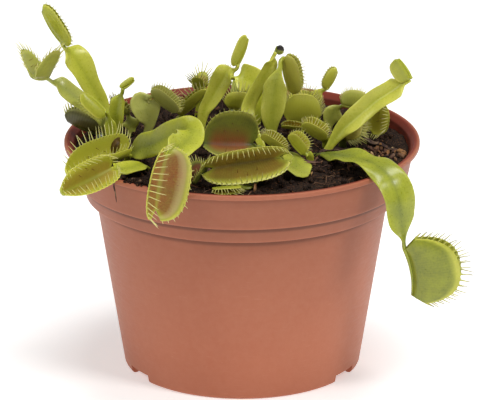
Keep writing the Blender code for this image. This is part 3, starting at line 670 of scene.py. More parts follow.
crumbs = Pile()
for x, y in scatter(1700, 54.0) + scatter(160, 55.5, (-37.0, -42.0), 9.0):
    size = 0.35 + 0.9 * chance.uniform() ** 3
    add_lump(crumbs, (x, y, crumbly_height(x, y) + 0.25 * size), size)
for _ in range(70):
    azimuth, out = chance.normal(SPILL_AZIMUTH, 5.5), chance.uniform(55.5, 59.8)
    size = 0.35 + 0.7 * chance.uniform() ** 2
    height = 78.0 + 1.2 * chance.uniform() if out < 57.0 else 79.1
    add_lump(crumbs, polar(out, azimuth, height), size)
crumb_piece = crumbs.piece("peat_crumbs", make_peat_finish(), "peat")
print("crumbs have", len(crumb_piece.data.polygons), "faces")

# %% [markdown]
# Slivers of bark and husk are the lightest things on the peat: tan and orange flakes, most of
# them near the rim on the right. They are flattened lumps, scattered more densely in a few
# patches. Their finish is one ramp from dark to light wood, read by each flake's own tone.

# %% Slivers of bark
PATCHES = [  # how many, reach, tone, and a patch's centre and radius
    (60, 53.0, 0.45), (70, 56.0, 0.5, (47.0, -8.0), 8.0), (26, 56.0, 0.35, (-37.0, -41.0), 8.0),
    (20, 52.0, 0.5, (22.0, -12.0), 9.0), (26, 54.0, 0.45, (-6.0, -42.0), 12.0)]


def make_litter_finish():
    finish, tree, shader = new_finish("bark_and_dry_leaf")
    rough = grain(tree, 1500.0, 5.0, 0.7)
    stripes = grain(tree, 500.0, 3.0)
    wood = ramp(tree, read_layer(tree, "tone"), [
        (0.0, colour(58, 38, 34)), (0.3, colour(96, 62, 52)), (0.55, colour(128, 88, 58)),
        (0.8, colour(176, 122, 66)), (1.0, colour(206, 170, 118))])
    pits = spread_range(tree, rough, 0.3, 0.7, 0.0, 0.55)
    bands = spread_range(tree, stripes, 0.5, 0.7, 0.0, 0.35)
    wood = blend(tree, pits, wood, colour(70, 46, 36), "MULTIPLY")
    feed(tree, shader, {"Base Color": blend(tree, bands, wood, colour(196, 160, 120)),
                        "Roughness": spread_range(tree, rough, 0.3, 0.7, 0.7, 0.95),
                        "Normal": bump(tree, rough, 0.15)})
    return finish


litter = Pile()
for count, reach, lightness, *patch in PATCHES:
    for x, y in scatter(count, reach, *patch):
        size = 0.5 + 0.9 * chance.uniform() ** 2
        tone = float(np.clip(lightness + chance.normal(0.0, 0.22), 0.0, 1.0))
        add_lump(litter, (x, y, crumbly_height(x, y) + 0.5), size, (1.5, 0.75, 0.3), tone=tone)
print("slivers have", len(litter.faces), "faces")

# %% [markdown]
# Fibres are thin arcs that lie on the surface, and one dark root hangs over the rim. Both are
# tubes. Dead leaves dry to flat brown straps whose edges curl up, so a strap is a skin over
# flat loops of three points above and three below.

# %% Fibres, the root and dead leaf straps
ROOT = [  # radius, azimuth and height on the pot, and half the root's thickness
    (57.4, -133.5, 78.6, 0.3), (59.2, -133.8, 79.5, 0.32), (60.35, -134.1, 78.6, 0.32),
    (60.4, -134.3, 76.8, 0.3), (59.9, -134.2, 74.6, 0.26), (59.3, -134.5, 72.6, 0.2),
    (59.2, -134.3, 70.9, 0.1)]
STRAPS = [  # x, y, azimuth, length, bow, half width and tone
    (22.5, -19.5, 25, 9.0, 4.0, 1.3, 0.3), (31.0, -4.5, 8, 10.0, -5.0, 1.5, 0.12),
    (45.0, 0.0, -35, 14.0, 6.0, 1.1, 0.05), (-28.0, 20.0, 60, 9.0, 5.0, 1.2, 0.25),
    (-8.0, -26.0, -20, 11.0, 5.0, 1.4, 0.15)]


def bowed_path(x, y, turn, length, bow, shares):
    """Places along a bowed line on the peat."""
    along, over = length * shares, bow * shares * shares
    return np.stack([x + along * math.cos(turn) - over * math.sin(turn),
                     y + along * math.sin(turn) + over * math.cos(turn)], axis=1)


def on_peat(places, lifts):
    return np.array([(x, y, crumbly_height(x, y) + lift) for (x, y), lift in zip(places, lifts)])


def add_strap(pile, x, y, azimuth, length, bow, half, tone):
    """A dry strap of dead leaf that lies on the peat."""
    shares = np.linspace(-0.5, 0.5, 9)
    path = on_peat(bowed_path(x, y, math.radians(azimuth), length, bow, shares), 0.9 - 2.0 * shares ** 2)
    side = unit(np.cross(unit(np.gradient(path, axis=0)), (0.0, 0.0, 1.0)))
    widths = half * np.sin(np.linspace(0.35, 2.9, len(path)))[:, None]
    curl, thickness = np.array([0.0, 0.0, 0.5]), np.array([0.0, 0.0, 0.35])
    upper = [path - side * widths + curl, path, path + side * widths + curl]
    rows = np.stack(upper + [edge - thickness for edge in upper[::-1]], axis=1)
    pile.add(rows, skin_faces(len(path), 6), tone=tone)


for x, y in scatter(150, 54.0):
    turn, length, lift = chance.uniform(0, math.pi), chance.uniform(2.5, 8.0), chance.uniform(0.2, 1.6)
    shares = np.linspace(-0.5, 0.5, 7)
    places = bowed_path(x, y, turn, length, -length * chance.uniform(-0.5, 0.5), shares)
    if np.hypot(*places.T).max() < 55.0:
        radii = chance.uniform(0.07, 0.16) * (1.0 - (1.7 * np.abs(shares)) ** 3 * 0.5)
        path = on_peat(places, 0.2 + lift * (0.25 - shares * shares))
        litter.add(*tube(path, radii, 5), tone=chance.uniform(0.2, 0.7))
litter.add(*tube([polar(*place) for *place, _ in ROOT], [knot[3] for knot in ROOT], 7), tone=0.12)
for strap in STRAPS:
    add_strap(litter, *strap)
litter_piece = litter.piece("bark_and_fibres", make_litter_finish(), "peat")
print("litter has", len(litter_piece.data.polygons), "faces")

# %% [markdown]
# ## The leaves
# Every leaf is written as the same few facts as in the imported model: the points of its
# midrib, its blade's width and fold, and its trap's hinge, mouth and lobes. All lengths are
# millimetres, and a direction is (azimuth, elevation) in degrees. Each leaf also has its own
# age and light, so it gets a tone for its blade and one for its trap. Each leaf could be
# modelled by hand, but one recipe for all of them is shorter, and a change to it reaches every
# leaf. The tables give only what differs from an ordinary leaf, and where a number for a trap is
# a pair, it is one value for each lobe.

# %% An ordinary leaf
ORDINARY = dict(
    face=(-90, 60), fold=15, peak=0.6,  # the blade's upper face, its fold and its widest place
    stalk=2.2, shoulder=3.2,  # the length of the bare neck and of the slope down to it
    twist=0.8, wave=0.0, teeth=0.02,  # where the blade turns to the trap, its ripple and its edge
    belly=30, flare=0.3, arch=0.05, uneven=1.0,  # how the lobes bulge, widen, sag and differ
    lash=2.5, long=1.0, lean=0.0, curl=-0.1, spacing=None,  # the lashes
    blush=0.5, warmth=0.5, hinge=0.35,  # the inner colour, which one, and its share at the hinge
    fade=(0.66, 0.9), bell=(-1.0, 2.0),  # where that colour ends, out to the margin and along it
    # sheen is a painted highlight: a pale haze painted inside one lobe
    outer=0.06, band=0.18, sheen=0.0,  # colour on the outside, the green margin, a pale haze
    grey=0.0, char_tip=0.0, lash_pale=0.7, lash_blush=0.0, lash_char=0.0, prey=False)
LEAVES = {}


def of_side(value, side):
    """A value for a lobe: one number for both, or a pair for lobes -1 and 1."""
    return value[int(side > 0)] if isinstance(value, tuple) else value


print("an ordinary leaf has", len(ORDINARY), "facts")

# %% [markdown]
# On the left two leaves reach up and out past the rim, and others lie over the collar, with
# wide traps that turn their mouths outwards.

# %% Leaves on the left
LEAVES.update({
    "reach_high": dict(
        stem=[(-42.5, 6, 76), (-44.5, 7, 82.5), (-47.5, 8, 88.5), (-50.5, 8, 95), (-56, 7.5, 104.5),
              (-59.5, 7, 109.5), (-60, 6.5, 111)], width=5, peak=0.85, fold=10, face=(-60, 25),
        tip=(-66.5, 5, 122.5), mouth=(-10, 25), depth=4.2, gape=8, belly=35, lash=1.2, tone=0.86,
        trap=0.78, blush=0.3, warmth=0.2, lash_pale=0.3),
    "reach_wide": dict(
        stem=[(-45, 1, 76), (-46.5, 0, 84.5), (-51.5, -2, 90.5), (-60, -3.5, 98), (-63.5, -4, 101),
              (-65.5, -4, 102.5)], width=3.6, peak=0.7, face=(-80, 50), tip=(-69.5, -12, 105),
        mouth=(100, 80), depth=11, gape=32, belly=14, lash=4, curl=0.12, spacing=1.5, tone=0.76,
        trap=0.74, blush=0.12, warmth=0.3, grey=0.3, lash_pale=0.75),
    "behind_left": dict(
        stem=[(-37.5, 14, 76), (-38, 15, 80), (-39.5, 16, 83)], width=3.6, peak=0.5, face=(-90, 20),
        tip=(-44, 18, 85.5), mouth=(170, 50), depth=4, gape=10, belly=40, flare=0.4, long=1.3, tone=0.78,
        trap=0.75, blush=0.4, warmth=0.3, grey=0.25),
    "folded_back": dict(
        stem=[(-43, -7.5, 76), (-43.5, -7, 83), (-45, -7, 88.5), (-46.5, -7, 90.5)], width=2, peak=0.5,
        fold=20, face=(-90, 20), tip=(-52.5, -7, 96.5), mouth=(-150, -35), depth=4, gape=10, belly=40,
        long=0.45, tone=0.72, trap=0.74, blush=0.4, warmth=0.4, lash_pale=0.4),
    "rim_left": dict(
        stem=[(-46, 4, 76), (-48, 4.5, 78.8), (-49.5, 5.5, 80)], width=2.4, fold=20, tip=(-58.5, 7, 83.5),
        mouth=(170, 50), depth=6, gape=10, belly=38, flare=0.4, lash=4, long=1.1, tone=0.2, trap=0.18,
        blush=0.35, warmth=0.6, outer=0.1, lash_pale=0.8),
    "spoon_left": dict(
        stem=[(-43.5, -3, 76), (-42.5, -3, 86), (-42, -3, 91), (-41, -3, 95.5), (-40.5, -3, 98)],
        width=2.5, fold=20, face=(-90, 10), tip=(-36.5, -3, 101), mouth=(150, 50), depth=1.3, gape=6,
        belly=20, flare=0.1, lash=0, tone=0.74, trap=0.8, blush=0.0),
    "dome_back": dict(
        stem=[(-32.5, 13, 76), (-31.5, 13, 80), (-32.5, 13, 85), (-33.5, 14, 88.5), (-30, 13, 90.5)],
        width=5.1, fold=8, face=(-90, 20), tip=(-23.5, 12, 85), mouth=(-20, 55), depth=5, gape=22,
        belly=25, flare=0.4, lash=1.8, long=1.2, tone=0.9, trap=0.95, blush=0.25, warmth=0.3, band=0.12,
        grey=0.42),
    "rim_front": dict(
        stem=[(-39, -10, 76), (-36, -13, 79), (-31.5, -18, 82.5), (-26, -24, 87), (-21, -29, 91),
              (-17.5, -33, 93.5), (-17, -39, 93), (-19, -47, 92.8), (-22.5, -54, 92.8),
              (-24.5, -59, 92.5)], width=4.6, peak=0.15, fold=8, face=(-86, 34), tip=(-28, -62, 75.2),
        mouth=(-55, 5), depth=10, gape=52, belly=20, flare=0.4, lash=4.5, long=(0.45, 1.2), lean=(50, 78),
        curl=(-0.1, -0.2), spacing=1.9, tone=0.72, trap=0.7, blush=1.0, warmth=0.34, fade=(0.74, 0.9),
        band=0.24, sheen=0.4, lash_pale=0.9),
    "spread_left": dict(
        stem=[(-39.5, -17, 76), (-38.5, -19, 78.5), (-38, -21, 80.5), (-38.5, -23.5, 81.5)], width=1.8,
        peak=0.5, tip=(-57, -48, 83.2), mouth=(-38, 68), depth=10.5, gape=(18, 12), belly=28, flare=0.1,
        uneven=0.55, lash=5, long=(0.5, 0.9), lean=(20, -35), curl=(-0.1, 0.1), spacing=1.7, tone=0.66,
        trap=1.1, blush=0.22, warmth=0.05, fade=(0.5, 0.85), band=0.3, lash_pale=0.75, prey=True),
    "spread_left_low": dict(
        stem=[(-31.5, -22, 76), (-33, -26, 78.7), (-36.5, -32, 79.5), (-40, -38, 81), (-43, -42, 82.5)],
        width=3.4, peak=0.4, fold=10, face=(-95, 55), tip=(-58.5, -58.5, 80), mouth=(-38, 48), depth=8.5,
        gape=(46, 28), belly=22, flare=0.05, lash=4, long=0.95, lean=(100, 55), curl=(-0.1, -0.2),
        spacing=1.7, tone=0.78, trap=0.84, blush=0.6, warmth=0.3, fade=(0.4, 0.85), band=0.25,
        lash_pale=0.75),
})
print(len(LEAVES), "leaves so far")

# %% [markdown]
# Three traps fill the front and the middle: a wide one at the front, whose blade has a toothed
# edge, a low one, and a deep red one that stands open over the centre.

# %% Leaves in front and in the middle
LEAVES.update({
    "front_wide": dict(
        stem=[(15.5, -5, 76), (17, -13, 78), (18, -22, 78.4), (17.5, -30, 78.8), (15, -34, 81.5),
              (11.5, -37, 84.5)], width=5.6, peak=0.55, fold=0, face=(-40, 70), stalk=3.5, shoulder=4,
        teeth=0.12, tip=(-9.5, -40, 82), mouth=(-90, 10), depth=10, gape=32, belly=12, flare=0.4, lean=70,
        curl=-0.35, tone=0.66, trap=0.8, blush=0.75, warmth=0.28, fade=(0.6, 0.88), hinge=0.9, grey=0.12),
    "front_low": dict(
        stem=[(7.5, -30, 76), (5.5, -37, 78), (2, -45, 77.6), (-1, -48, 77.8)], width=1.6, peak=0.5,
        fold=20, tip=(-9.5, -51.5, 78.4), mouth=(-110, 0), depth=3, gape=15, belly=20, flare=0.1, lash=2,
        long=1.3, tone=0.55, trap=0.58, warmth=0.4),
    "centre_red": dict(
        stem=[(9, -2, 76), (6.5, -6, 78), (3.5, -8, 79.5)], width=2, tip=(-12.5, -15, 82.3),
        mouth=(-90, 40), depth=13, gape=(48, 36), belly=16, flare=0.15, uneven=0.8, lash=2, tone=0.6,
        trap=0.46, blush=0.8, warmth=0.76, fade=(0.05, 0.66), bell=(-0.02, 1.0), hinge=0.9, band=0.22,
        grey=0.12, lash_pale=0.6, lash_blush=0.35),
})
print(len(LEAVES), "leaves so far")

# %% [markdown]
# Behind them stand narrow upright leaves: spoons whose traps haven't formed lashes, and small
# cups that are seen from the side.

# %% Leaves behind
LEAVES.update({
    "tall_spoon": dict(
        stem=[(-14.5, 10, 76), (-13, 10.5, 84.5), (-11, 11, 88.5), (-8.5, 11, 93.5), (-5.5, 10, 98.5),
              (-2.5, 9, 101), (-2, 9, 102.5)], width=3.8, peak=0.8, fold=20, face=(-90, 10),
        tip=(1.5, 9, 111.5), mouth=(180, 30), depth=2.8, gape=5, belly=25, flare=0.2, lash=0, tone=1.0,
        trap=0.84, blush=0.0),
    "strip_back": dict(
        stem=[(-21, 22, 76), (-21, 22, 79.5), (-20.5, 22, 81)], width=1.8, face=(-90, 40),
        tip=(-12.5, 20, 89), mouth=(200, 45), depth=3.5, gape=12, flare=0.2, lash=3.5, long=1.2,
        tone=0.85, trap=1.05, blush=0.4, warmth=0.4, band=0.12, lash_pale=0.85),
    "back_rim": dict(
        stem=[(-15, 36, 76), (-14, 36, 81.5), (-12.5, 35, 85), (-13, 35, 86)], width=2.4, peak=0.7,
        fold=20, face=(-90, 40), tip=(-16, 36, 86), mouth=(160, 70), depth=5.5, gape=35, belly=12,
        flare=0.6, lash=3, long=1.4, tone=0.72, trap=0.74, warmth=0.4),
    "broad_back": dict(
        stem=[(5, 24, 76), (6, 25, 82.5), (6, 26, 87), (4, 27, 90.5), (0, 28, 92), (-4, 31, 91)],
        width=4.8, peak=0.5, fold=5, face=(-90, 20), tip=(-9, 35, 87), mouth=(90, 30), depth=4, gape=20,
        flare=0.2, tone=0.9, trap=0.9, blush=0.35, warmth=0.3),
    "curved_tall": dict(
        stem=[(6.5, 2, 76), (4.5, 4, 79.5), (2.5, 6, 83.5), (2, 8, 87), (4, 8.5, 91.5), (6.5, 8, 96.5),
              (9.5, 7, 102), (12, 6, 107.5)], width=2.3, peak=0.3, face=(-90, 10), stalk=1.2,
        tip=(12.5, 6, 109.5), mouth=(0, 20), depth=1.8, gape=8, belly=25, lash=0, tone=1.05, trap=0.5,
        blush=0.0, char_tip=1.0),
    "upright_cup": dict(
        stem=[(10, 4, 76), (10, 4, 83.5), (10.5, 4, 89.5), (11, 4, 95.5), (12, 4, 100), (13, 4.5, 102.5),
              (13.6, 6, 104.4), (14.6, 8, 104.6)], width=4.1, peak=0.4, fold=12, face=(-90, 10),
        stalk=4.5, shoulder=8, tip=(16.4, 9.5, 93.5), mouth=(-15, -15), depth=5.5, gape=12, belly=22,
        lash=1.6, tone=0.88, trap=1.2, warmth=0.25, outer=0.3, band=0.2, grey=0.1, lash_pale=0.8),
    "round_back": dict(
        stem=[(27, 14, 76), (26, 14, 79), (24.5, 14, 80.5)], width=2, fold=20, tip=(16, 14, 81),
        mouth=(60, 80), depth=11, gape=20, belly=25, flare=0.5, lash=4, long=0.9, tone=0.7, trap=1.15,
        blush=0.25, warmth=0.45, fade=(0.2, 0.8), outer=0.03, lash_pale=0.75),
    "rolled_small": dict(
        stem=[(20, 8, 76), (19.5, 7, 80.5)], width=1.6, fold=20, tip=(14, 6, 81.5), mouth=(-90, 40),
        depth=3.5, gape=14, belly=35, lash=1, tone=0.72, trap=0.9, warmth=0.6),
    "short_yellow": dict(
        stem=[(24.5, 28, 76), (25, 28, 81.5), (25.5, 28, 85), (27, 28, 87), (29, 28, 88.5)], width=2.4,
        fold=20, face=(-90, 20), tip=(32, 28, 94), mouth=(180, 20), depth=3, gape=25, lash=0.8, tone=1.1,
        trap=1.25, blush=0.1, warmth=0.2),
})
print(len(LEAVES), "leaves so far")

# %% [markdown]
# On the right the leaves bend out in arcs. Their traps are seen from the side, with long pale
# lashes, and one droops and has begun to dry at its lashes.

# %% Leaves on the right
LEAVES.update({
    "right_open": dict(
        stem=[(39, 15, 76), (41, 14, 77.8), (43, 12.5, 78.4)], width=1.8, peak=0.5, face=(-60, 60),
        tip=(43.8, 12, 88.5), mouth=(-100, 15), depth=8.5, gape=(12, 58), belly=28, long=1.3, lean=80,
        tone=0.66, trap=1.05, blush=0.4, warmth=0.2, band=0.1, lash_pale=0.8),
    "right_reach": dict(
        stem=[(28.5, -5, 76), (33, -4, 82.5), (37, -4, 86.5), (41.5, -4, 90.5), (45.5, -4, 94),
              (50, -4, 97), (53.5, -4, 99.5), (56, -4, 101.5)], width=3.9, peak=0.4, fold=22,
        face=(-80, 40), tip=(52, -4, 108), mouth=(180, -28), depth=4.3, gape=5, belly=12, flare=0.1,
        lash=0, tone=0.95, trap=0.74, blush=0.2, warmth=0.3, grey=0.04),
    "right_dark": dict(
        stem=[(34, 0, 76), (34, -0.4, 79.2), (34.5, -1, 80.2)], width=1.6, tip=(36, 2, 84.5),
        mouth=(0, 5), depth=6, gape=14, flare=0.4, long=1.4, tone=0.36, trap=0.5, blush=0.6, warmth=0.6,
        outer=0.25),
    "white_lashes": dict(
        stem=[(9.5, -12, 76), (11, -12.5, 78), (13.3, -12, 79)], width=1.5, tip=(7.5, -10.5, 82.5),
        mouth=(-55, 50), depth=4.8, gape=16, flare=0.4, lash=2, long=1.25, lean=38, spacing=0.75,
        tone=0.7, trap=1.05, blush=0.3, warmth=0.45, band=0.1, lash_pale=1.0),
    "c_shape": dict(
        stem=[(23, -14.5, 76), (22.5, -15, 78.5), (20.5, -15, 79.2)], width=1.6, tip=(16, -13.5, 84),
        mouth=(-20, 10), depth=4.5, gape=25, belly=25, flare=0.2, lash=1.2, long=1.3, tone=0.76, trap=1.0,
        blush=0.45, warmth=0.4, band=0.1),
    "lashes_up": dict(
        stem=[(28.5, 0.5, 76), (28.2, 0, 79), (27, -1, 79.6)], width=1.6, tip=(21, -0.5, 83),
        mouth=(-40, 60), depth=5.2, gape=20, flare=0.4, long=1.1, lean=30, spacing=0.85, tone=0.72,
        trap=0.95, blush=0.3, band=0.1, lash_pale=1.0),
    "drooping": dict(
        stem=[(25, -8, 76), (28.5, -13, 78), (33.5, -20, 79.5), (39.5, -29, 81.5), (44.5, -37, 82),
              (49, -42.5, 79.5), (51.5, -45, 73.5), (52.5, -45.5, 66.5), (53.5, -45, 60.5),
              (54.5, -44, 55.3)], width=5.6, peak=0.35, fold=6, face=(-65, 50), shoulder=9, twist=0.95,
        wave=0.8, tip=(57.3, -44, 38.8), mouth=(-5, 8), depth=16, gape=7, belly=20, flare=0.4, arch=-0.06,
        lash=4.6, spacing=2.0, tone=0.57, trap=0.53, blush=0.3, warmth=0.15, band=0.3, lash_pale=0.5,
        lash_char=0.7),
})
print(len(LEAVES), "leaves so far")

# %% [markdown]
# Small leaves fill the gaps between the large ones, and three far ones are seen only as dark
# shapes between the stalks.

# %% Small and far leaves
LEAVES.update({
    "dark_small": dict(
        stem=[(-10.5, -31, 76), (-11, -34, 78.8), (-12.5, -36, 80)], width=1.6, tip=(-16, -44, 78.5),
        mouth=(-120, 40), depth=5, gape=30, belly=20, flare=0.4, lash=2, long=1.4, tone=0.25, trap=0.3,
        blush=0.75, warmth=0.85, lash_pale=0.6),
    "centre_back": dict(
        stem=[(-0.5, 16, 76), (1.5, 16, 83), (2.5, 16, 85)], width=1.8, fold=20, face=(-90, 40),
        tip=(-4.5, 16, 85.5), mouth=(90, 75), depth=5.5, gape=18, flare=0.5, lash=3, long=1.3, tone=0.72,
        trap=0.95, blush=0.4, warmth=0.35),
    "far_left": dict(
        stem=[(-32, 28, 76), (-33, 31, 78.5), (-33.5, 33, 79.2)], width=2.4, tip=(-33, 41, 78.5),
        mouth=(90, 80), depth=3.5, gape=34, belly=20, lash=1, tone=0.5, trap=0.55, blush=0.6),
    "far_middle": dict(
        stem=[(-3, 38, 76), (-2.8, 41, 80), (-1.5, 48, 82.3), (0, 56, 83), (1.5, 62, 81.5),
              (2, 65, 77.8)], width=2.4, peak=0.5, fold=10, face=(90, 60), tip=(2.5, 67, 69.5),
        mouth=(90, 8), depth=4, gape=25, belly=25, lash=1.6, tone=0.5, trap=0.55, blush=0.6, warmth=0.4),
    "far_right": dict(
        stem=[(14, 36, 76), (14.5, 38, 78), (15, 40, 78.5)], width=2.4, tip=(17, 48, 79), mouth=(90, 80),
        depth=4, gape=30, belly=20, lash=2, tone=0.5, trap=0.55, blush=0.6),
    "right_up": dict(
        stem=[(29.5, 16, 76), (30, 16.5, 80), (31.5, 16.5, 83.5), (33, 16, 85.5), (34.5, 15.5, 86.5)],
        width=3.4, peak=0.5, face=(-60, 50), tip=(41.5, 16, 85.5), mouth=(90, 70), depth=5.5, gape=20,
        lash=1.2, long=1.3, tone=0.85, trap=0.85, blush=0.35, warmth=0.35, grey=0.3),
})
print(len(LEAVES), "leaves so far")

# %% [markdown]
# ## Growing a leaf
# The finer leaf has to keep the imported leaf's form, so it reads the same curve through the
# midrib's points and the same rules for width, fold and lobes, only at many more places. The
# curve starts under the peat, leaning a little towards the leaf.

# %% The midrib's curve
ROOT_DEPTH = 5.0
ROOT_HALF_WIDTH = 1.3
STALK_HALF_WIDTH = 0.8
KNOT_STEPS = 12


def direction(azimuth, elevation):
    a, e = math.radians(azimuth), math.radians(elevation)
    return np.array([math.cos(e) * math.cos(a), math.cos(e) * math.sin(a), math.sin(e)])


def ease(value, start, end):
    t = np.clip((value - start) / (end - start), 0.0, 1.0)
    return t * t * (3.0 - 2.0 * t)


class Curve:
    """A smooth curve through a few points, read by the share of its length."""

    def __init__(self, points):
        knots = [np.array(p, float) for p in points]
        ends = [2 * knots[0] - knots[1]] + knots + [2 * knots[-1] - knots[-2]]
        path = []
        for a, b, c, d in zip(ends, ends[1:], ends[2:], ends[3:]):
            for t in np.arange(KNOT_STEPS) / KNOT_STEPS:
                path.append(0.5 * (2 * b + (c - a) * t + (2 * a - 5 * b + 4 * c - d) * t * t
                                   + (3 * b - 3 * c + d - a) * t ** 3))
        self.path = np.array(path + [knots[-1]])
        lengths = np.linalg.norm(np.diff(self.path, axis=0), axis=1)
        self.run = np.concatenate([[0.0], np.cumsum(lengths)])
        self.length = self.run[-1]

    def at(self, shares):
        where = np.asarray(shares) * self.length
        return np.stack([np.interp(where, self.run, self.path[:, k]) for k in range(3)], axis=-1)

    def heading(self, shares):
        return unit(self.at(np.minimum(shares + 0.02, 1.0)) - self.at(np.maximum(shares - 0.02, 0.0)))


def midrib(leaf):
    start = np.array(leaf["stem"][0], float)
    lead = unit(unit(np.array(leaf["stem"][1], float) - start) + np.array([0.0, 0.0, 1.0]))
    return Curve([start - lead * ROOT_DEPTH] + leaf["stem"])


def blade_half_width(leaf, shares, length):
    ground = (ROOT_DEPTH + 1.0) / length
    peak = ground + (1.0 - ground) * leaf["peak"]
    winged = ROOT_HALF_WIDTH + (leaf["width"] - ROOT_HALF_WIDTH) * ease(shares, ground, peak)
    free = length - 1.3 * ROOT_DEPTH
    scale = min(1.0, 0.65 * free / (leaf["stalk"] + 0.9 * leaf["shoulder"]))
    stalk, shoulder = scale * leaf["stalk"] / length, scale * leaf["shoulder"] / length
    fall = ease(shares, 1.0 - stalk - shoulder, 1.0 - stalk)
    return winged + (STALK_HALF_WIDTH - winged) * fall


print("midribs of", round(min(midrib(leaf).length for leaf in LEAVES.values()), 1), "to",
      round(max(midrib(leaf).length for leaf in LEAVES.values()), 1), "mm")

# %% [markdown]
# Blades and lobes are both thin skins with a rounded edge. The points of a skin are its upper
# face, and the lower face lies one thickness under them. Towards the rim, both are drawn to the
# middle between them, which rounds the edge. A Solidify modifier would leave the edge square.

# %% Thicken a skin
def thicken(skin, normal, thick, rim):
    """Closed loops round a skin: its upper face, then its lower one backwards."""
    upper = skin - normal * (0.5 * thick * (1.0 - rim))[..., None]
    lower = skin - normal * (0.5 * thick * (1.0 + rim))[..., None]
    return np.concatenate([upper, lower[:, -2:0:-1]], axis=1)


def both_faces(values, rows):
    """Values across the upper face and again across the lower one, for every loop."""
    across = np.broadcast_to(values, (rows, np.shape(values)[-1]))
    return np.concatenate([across, across[:, -2:0:-1]], axis=1)


# %% [markdown]
# The winged stalk is a thin blade with a round midrib under it. Its edge is finely scalloped
# and rolls a little, and the blade thins towards it. Across the blade there are 17 points on
# the upper face and 15 on the lower one, closer together near the edge.

# %% The blade
BLADE_COLUMNS = 17
BLADE_ROW = 0.5
RIB_THICKNESS = 1.3
STALK_THICKNESS = 0.98
BLADE_THICKNESS = 0.5


def wave(place, period, phase):
    """A sine wave down the blade as a column, with a period in millimetres."""
    return np.sin(2.0 * math.pi * place / period + phase)[:, None]


def blade_shell(leaf, curve, generator):
    """Loops, faces and layers of a leaf's stalk from its root to its trap."""
    rows = int(np.clip(curve.length / BLADE_ROW, 24, 150))
    shares = np.linspace(0.0, 1.0, rows)
    run = shares * curve.length
    c = np.sin(math.pi / 2.0 * np.linspace(-1.0, 1.0, BLADE_COLUMNS))[None, :]
    heading = curve.heading(shares)
    turn = ease(shares, leaf["twist"], 1.0)[:, None]
    facing = direction(*leaf["face"]) * (1.0 - turn) + direction(*leaf["mouth"]) * turn
    up = unit(facing - heading * np.sum(facing * heading, axis=1)[:, None])
    side = np.cross(heading, up)
    half = blade_half_width(leaf, shares, curve.length)[:, None]
    winged = np.clip((half - 1.0) / 2.0, 0.0, 1.0)
    phase = generator.uniform(0.0, 6.28, 4)
    scallop = leaf["teeth"] * (wave(run, 1.7, phase[0]) * (c > 0) + wave(run, 1.9, phase[1]) * (c < 0))
    slow = 0.25 * wave(run, 17.0, phase[2])
    reach = np.abs(c) * (half + (scallop + slow * np.sign(c)) * winged)
    fold = np.radians(leaf["fold"]) * winged
    ripple = leaf["wave"] * winged * c * c * np.sin(14.0 * shares[:, None] + 2.0 * c)
    roll = 0.45 * winged * c ** 4 * wave(run, 15.0, phase[3])
    rise = reach * np.sin(fold) + ripple + roll
    sideways = np.sign(c) * reach * np.cos(fold)
    top = curve.at(shares)[:, None] + side[:, None] * sideways[..., None] + up[:, None] * rise[..., None]
    tilt = np.tanh(4.0 * c)[..., None] * np.sin(fold)[..., None]
    normal = unit(up[:, None] * np.cos(fold)[..., None] - side[:, None] * tilt)
    rib = RIB_THICKNESS + 0.25 * winged
    wing = STALK_THICKNESS + (BLADE_THICKNESS - STALK_THICKNESS) * winged
    thick = wing + (rib - wing) * np.exp(-(c * half / 0.85) ** 2)
    rim = np.sqrt(np.maximum(1.0 - np.abs(c) ** (2.0 + 8.0 * winged), 0.0))
    loop = thicken(top, normal, thick, rim)
    out = both_faces(c, rows)
    layers = {"vein": out * half, "edge": np.abs(out) ** 3 * winged, "rib": np.exp(-(out * half) ** 2),
              "run": np.broadcast_to(shares[:, None], out.shape)}
    return loop, skin_faces(rows, loop.shape[1], BLADE_COLUMNS), layers


# %% [markdown]
# A trap's lobe starts on the hinge at an angle to the mouth and bends over as it goes out,
# which makes its belly. Each lobe's outline is a rounded rectangle, and its last sixth turns
# outwards as a flat band that carries the lashes. The bend is an angle at each place, and its
# steps are added up, so that a lobe keeps its length however far it bends.

# %% The trap
ROUNDNESS = 2.6
BAND_TURN = 16.0
LOBE_STEPS = 200


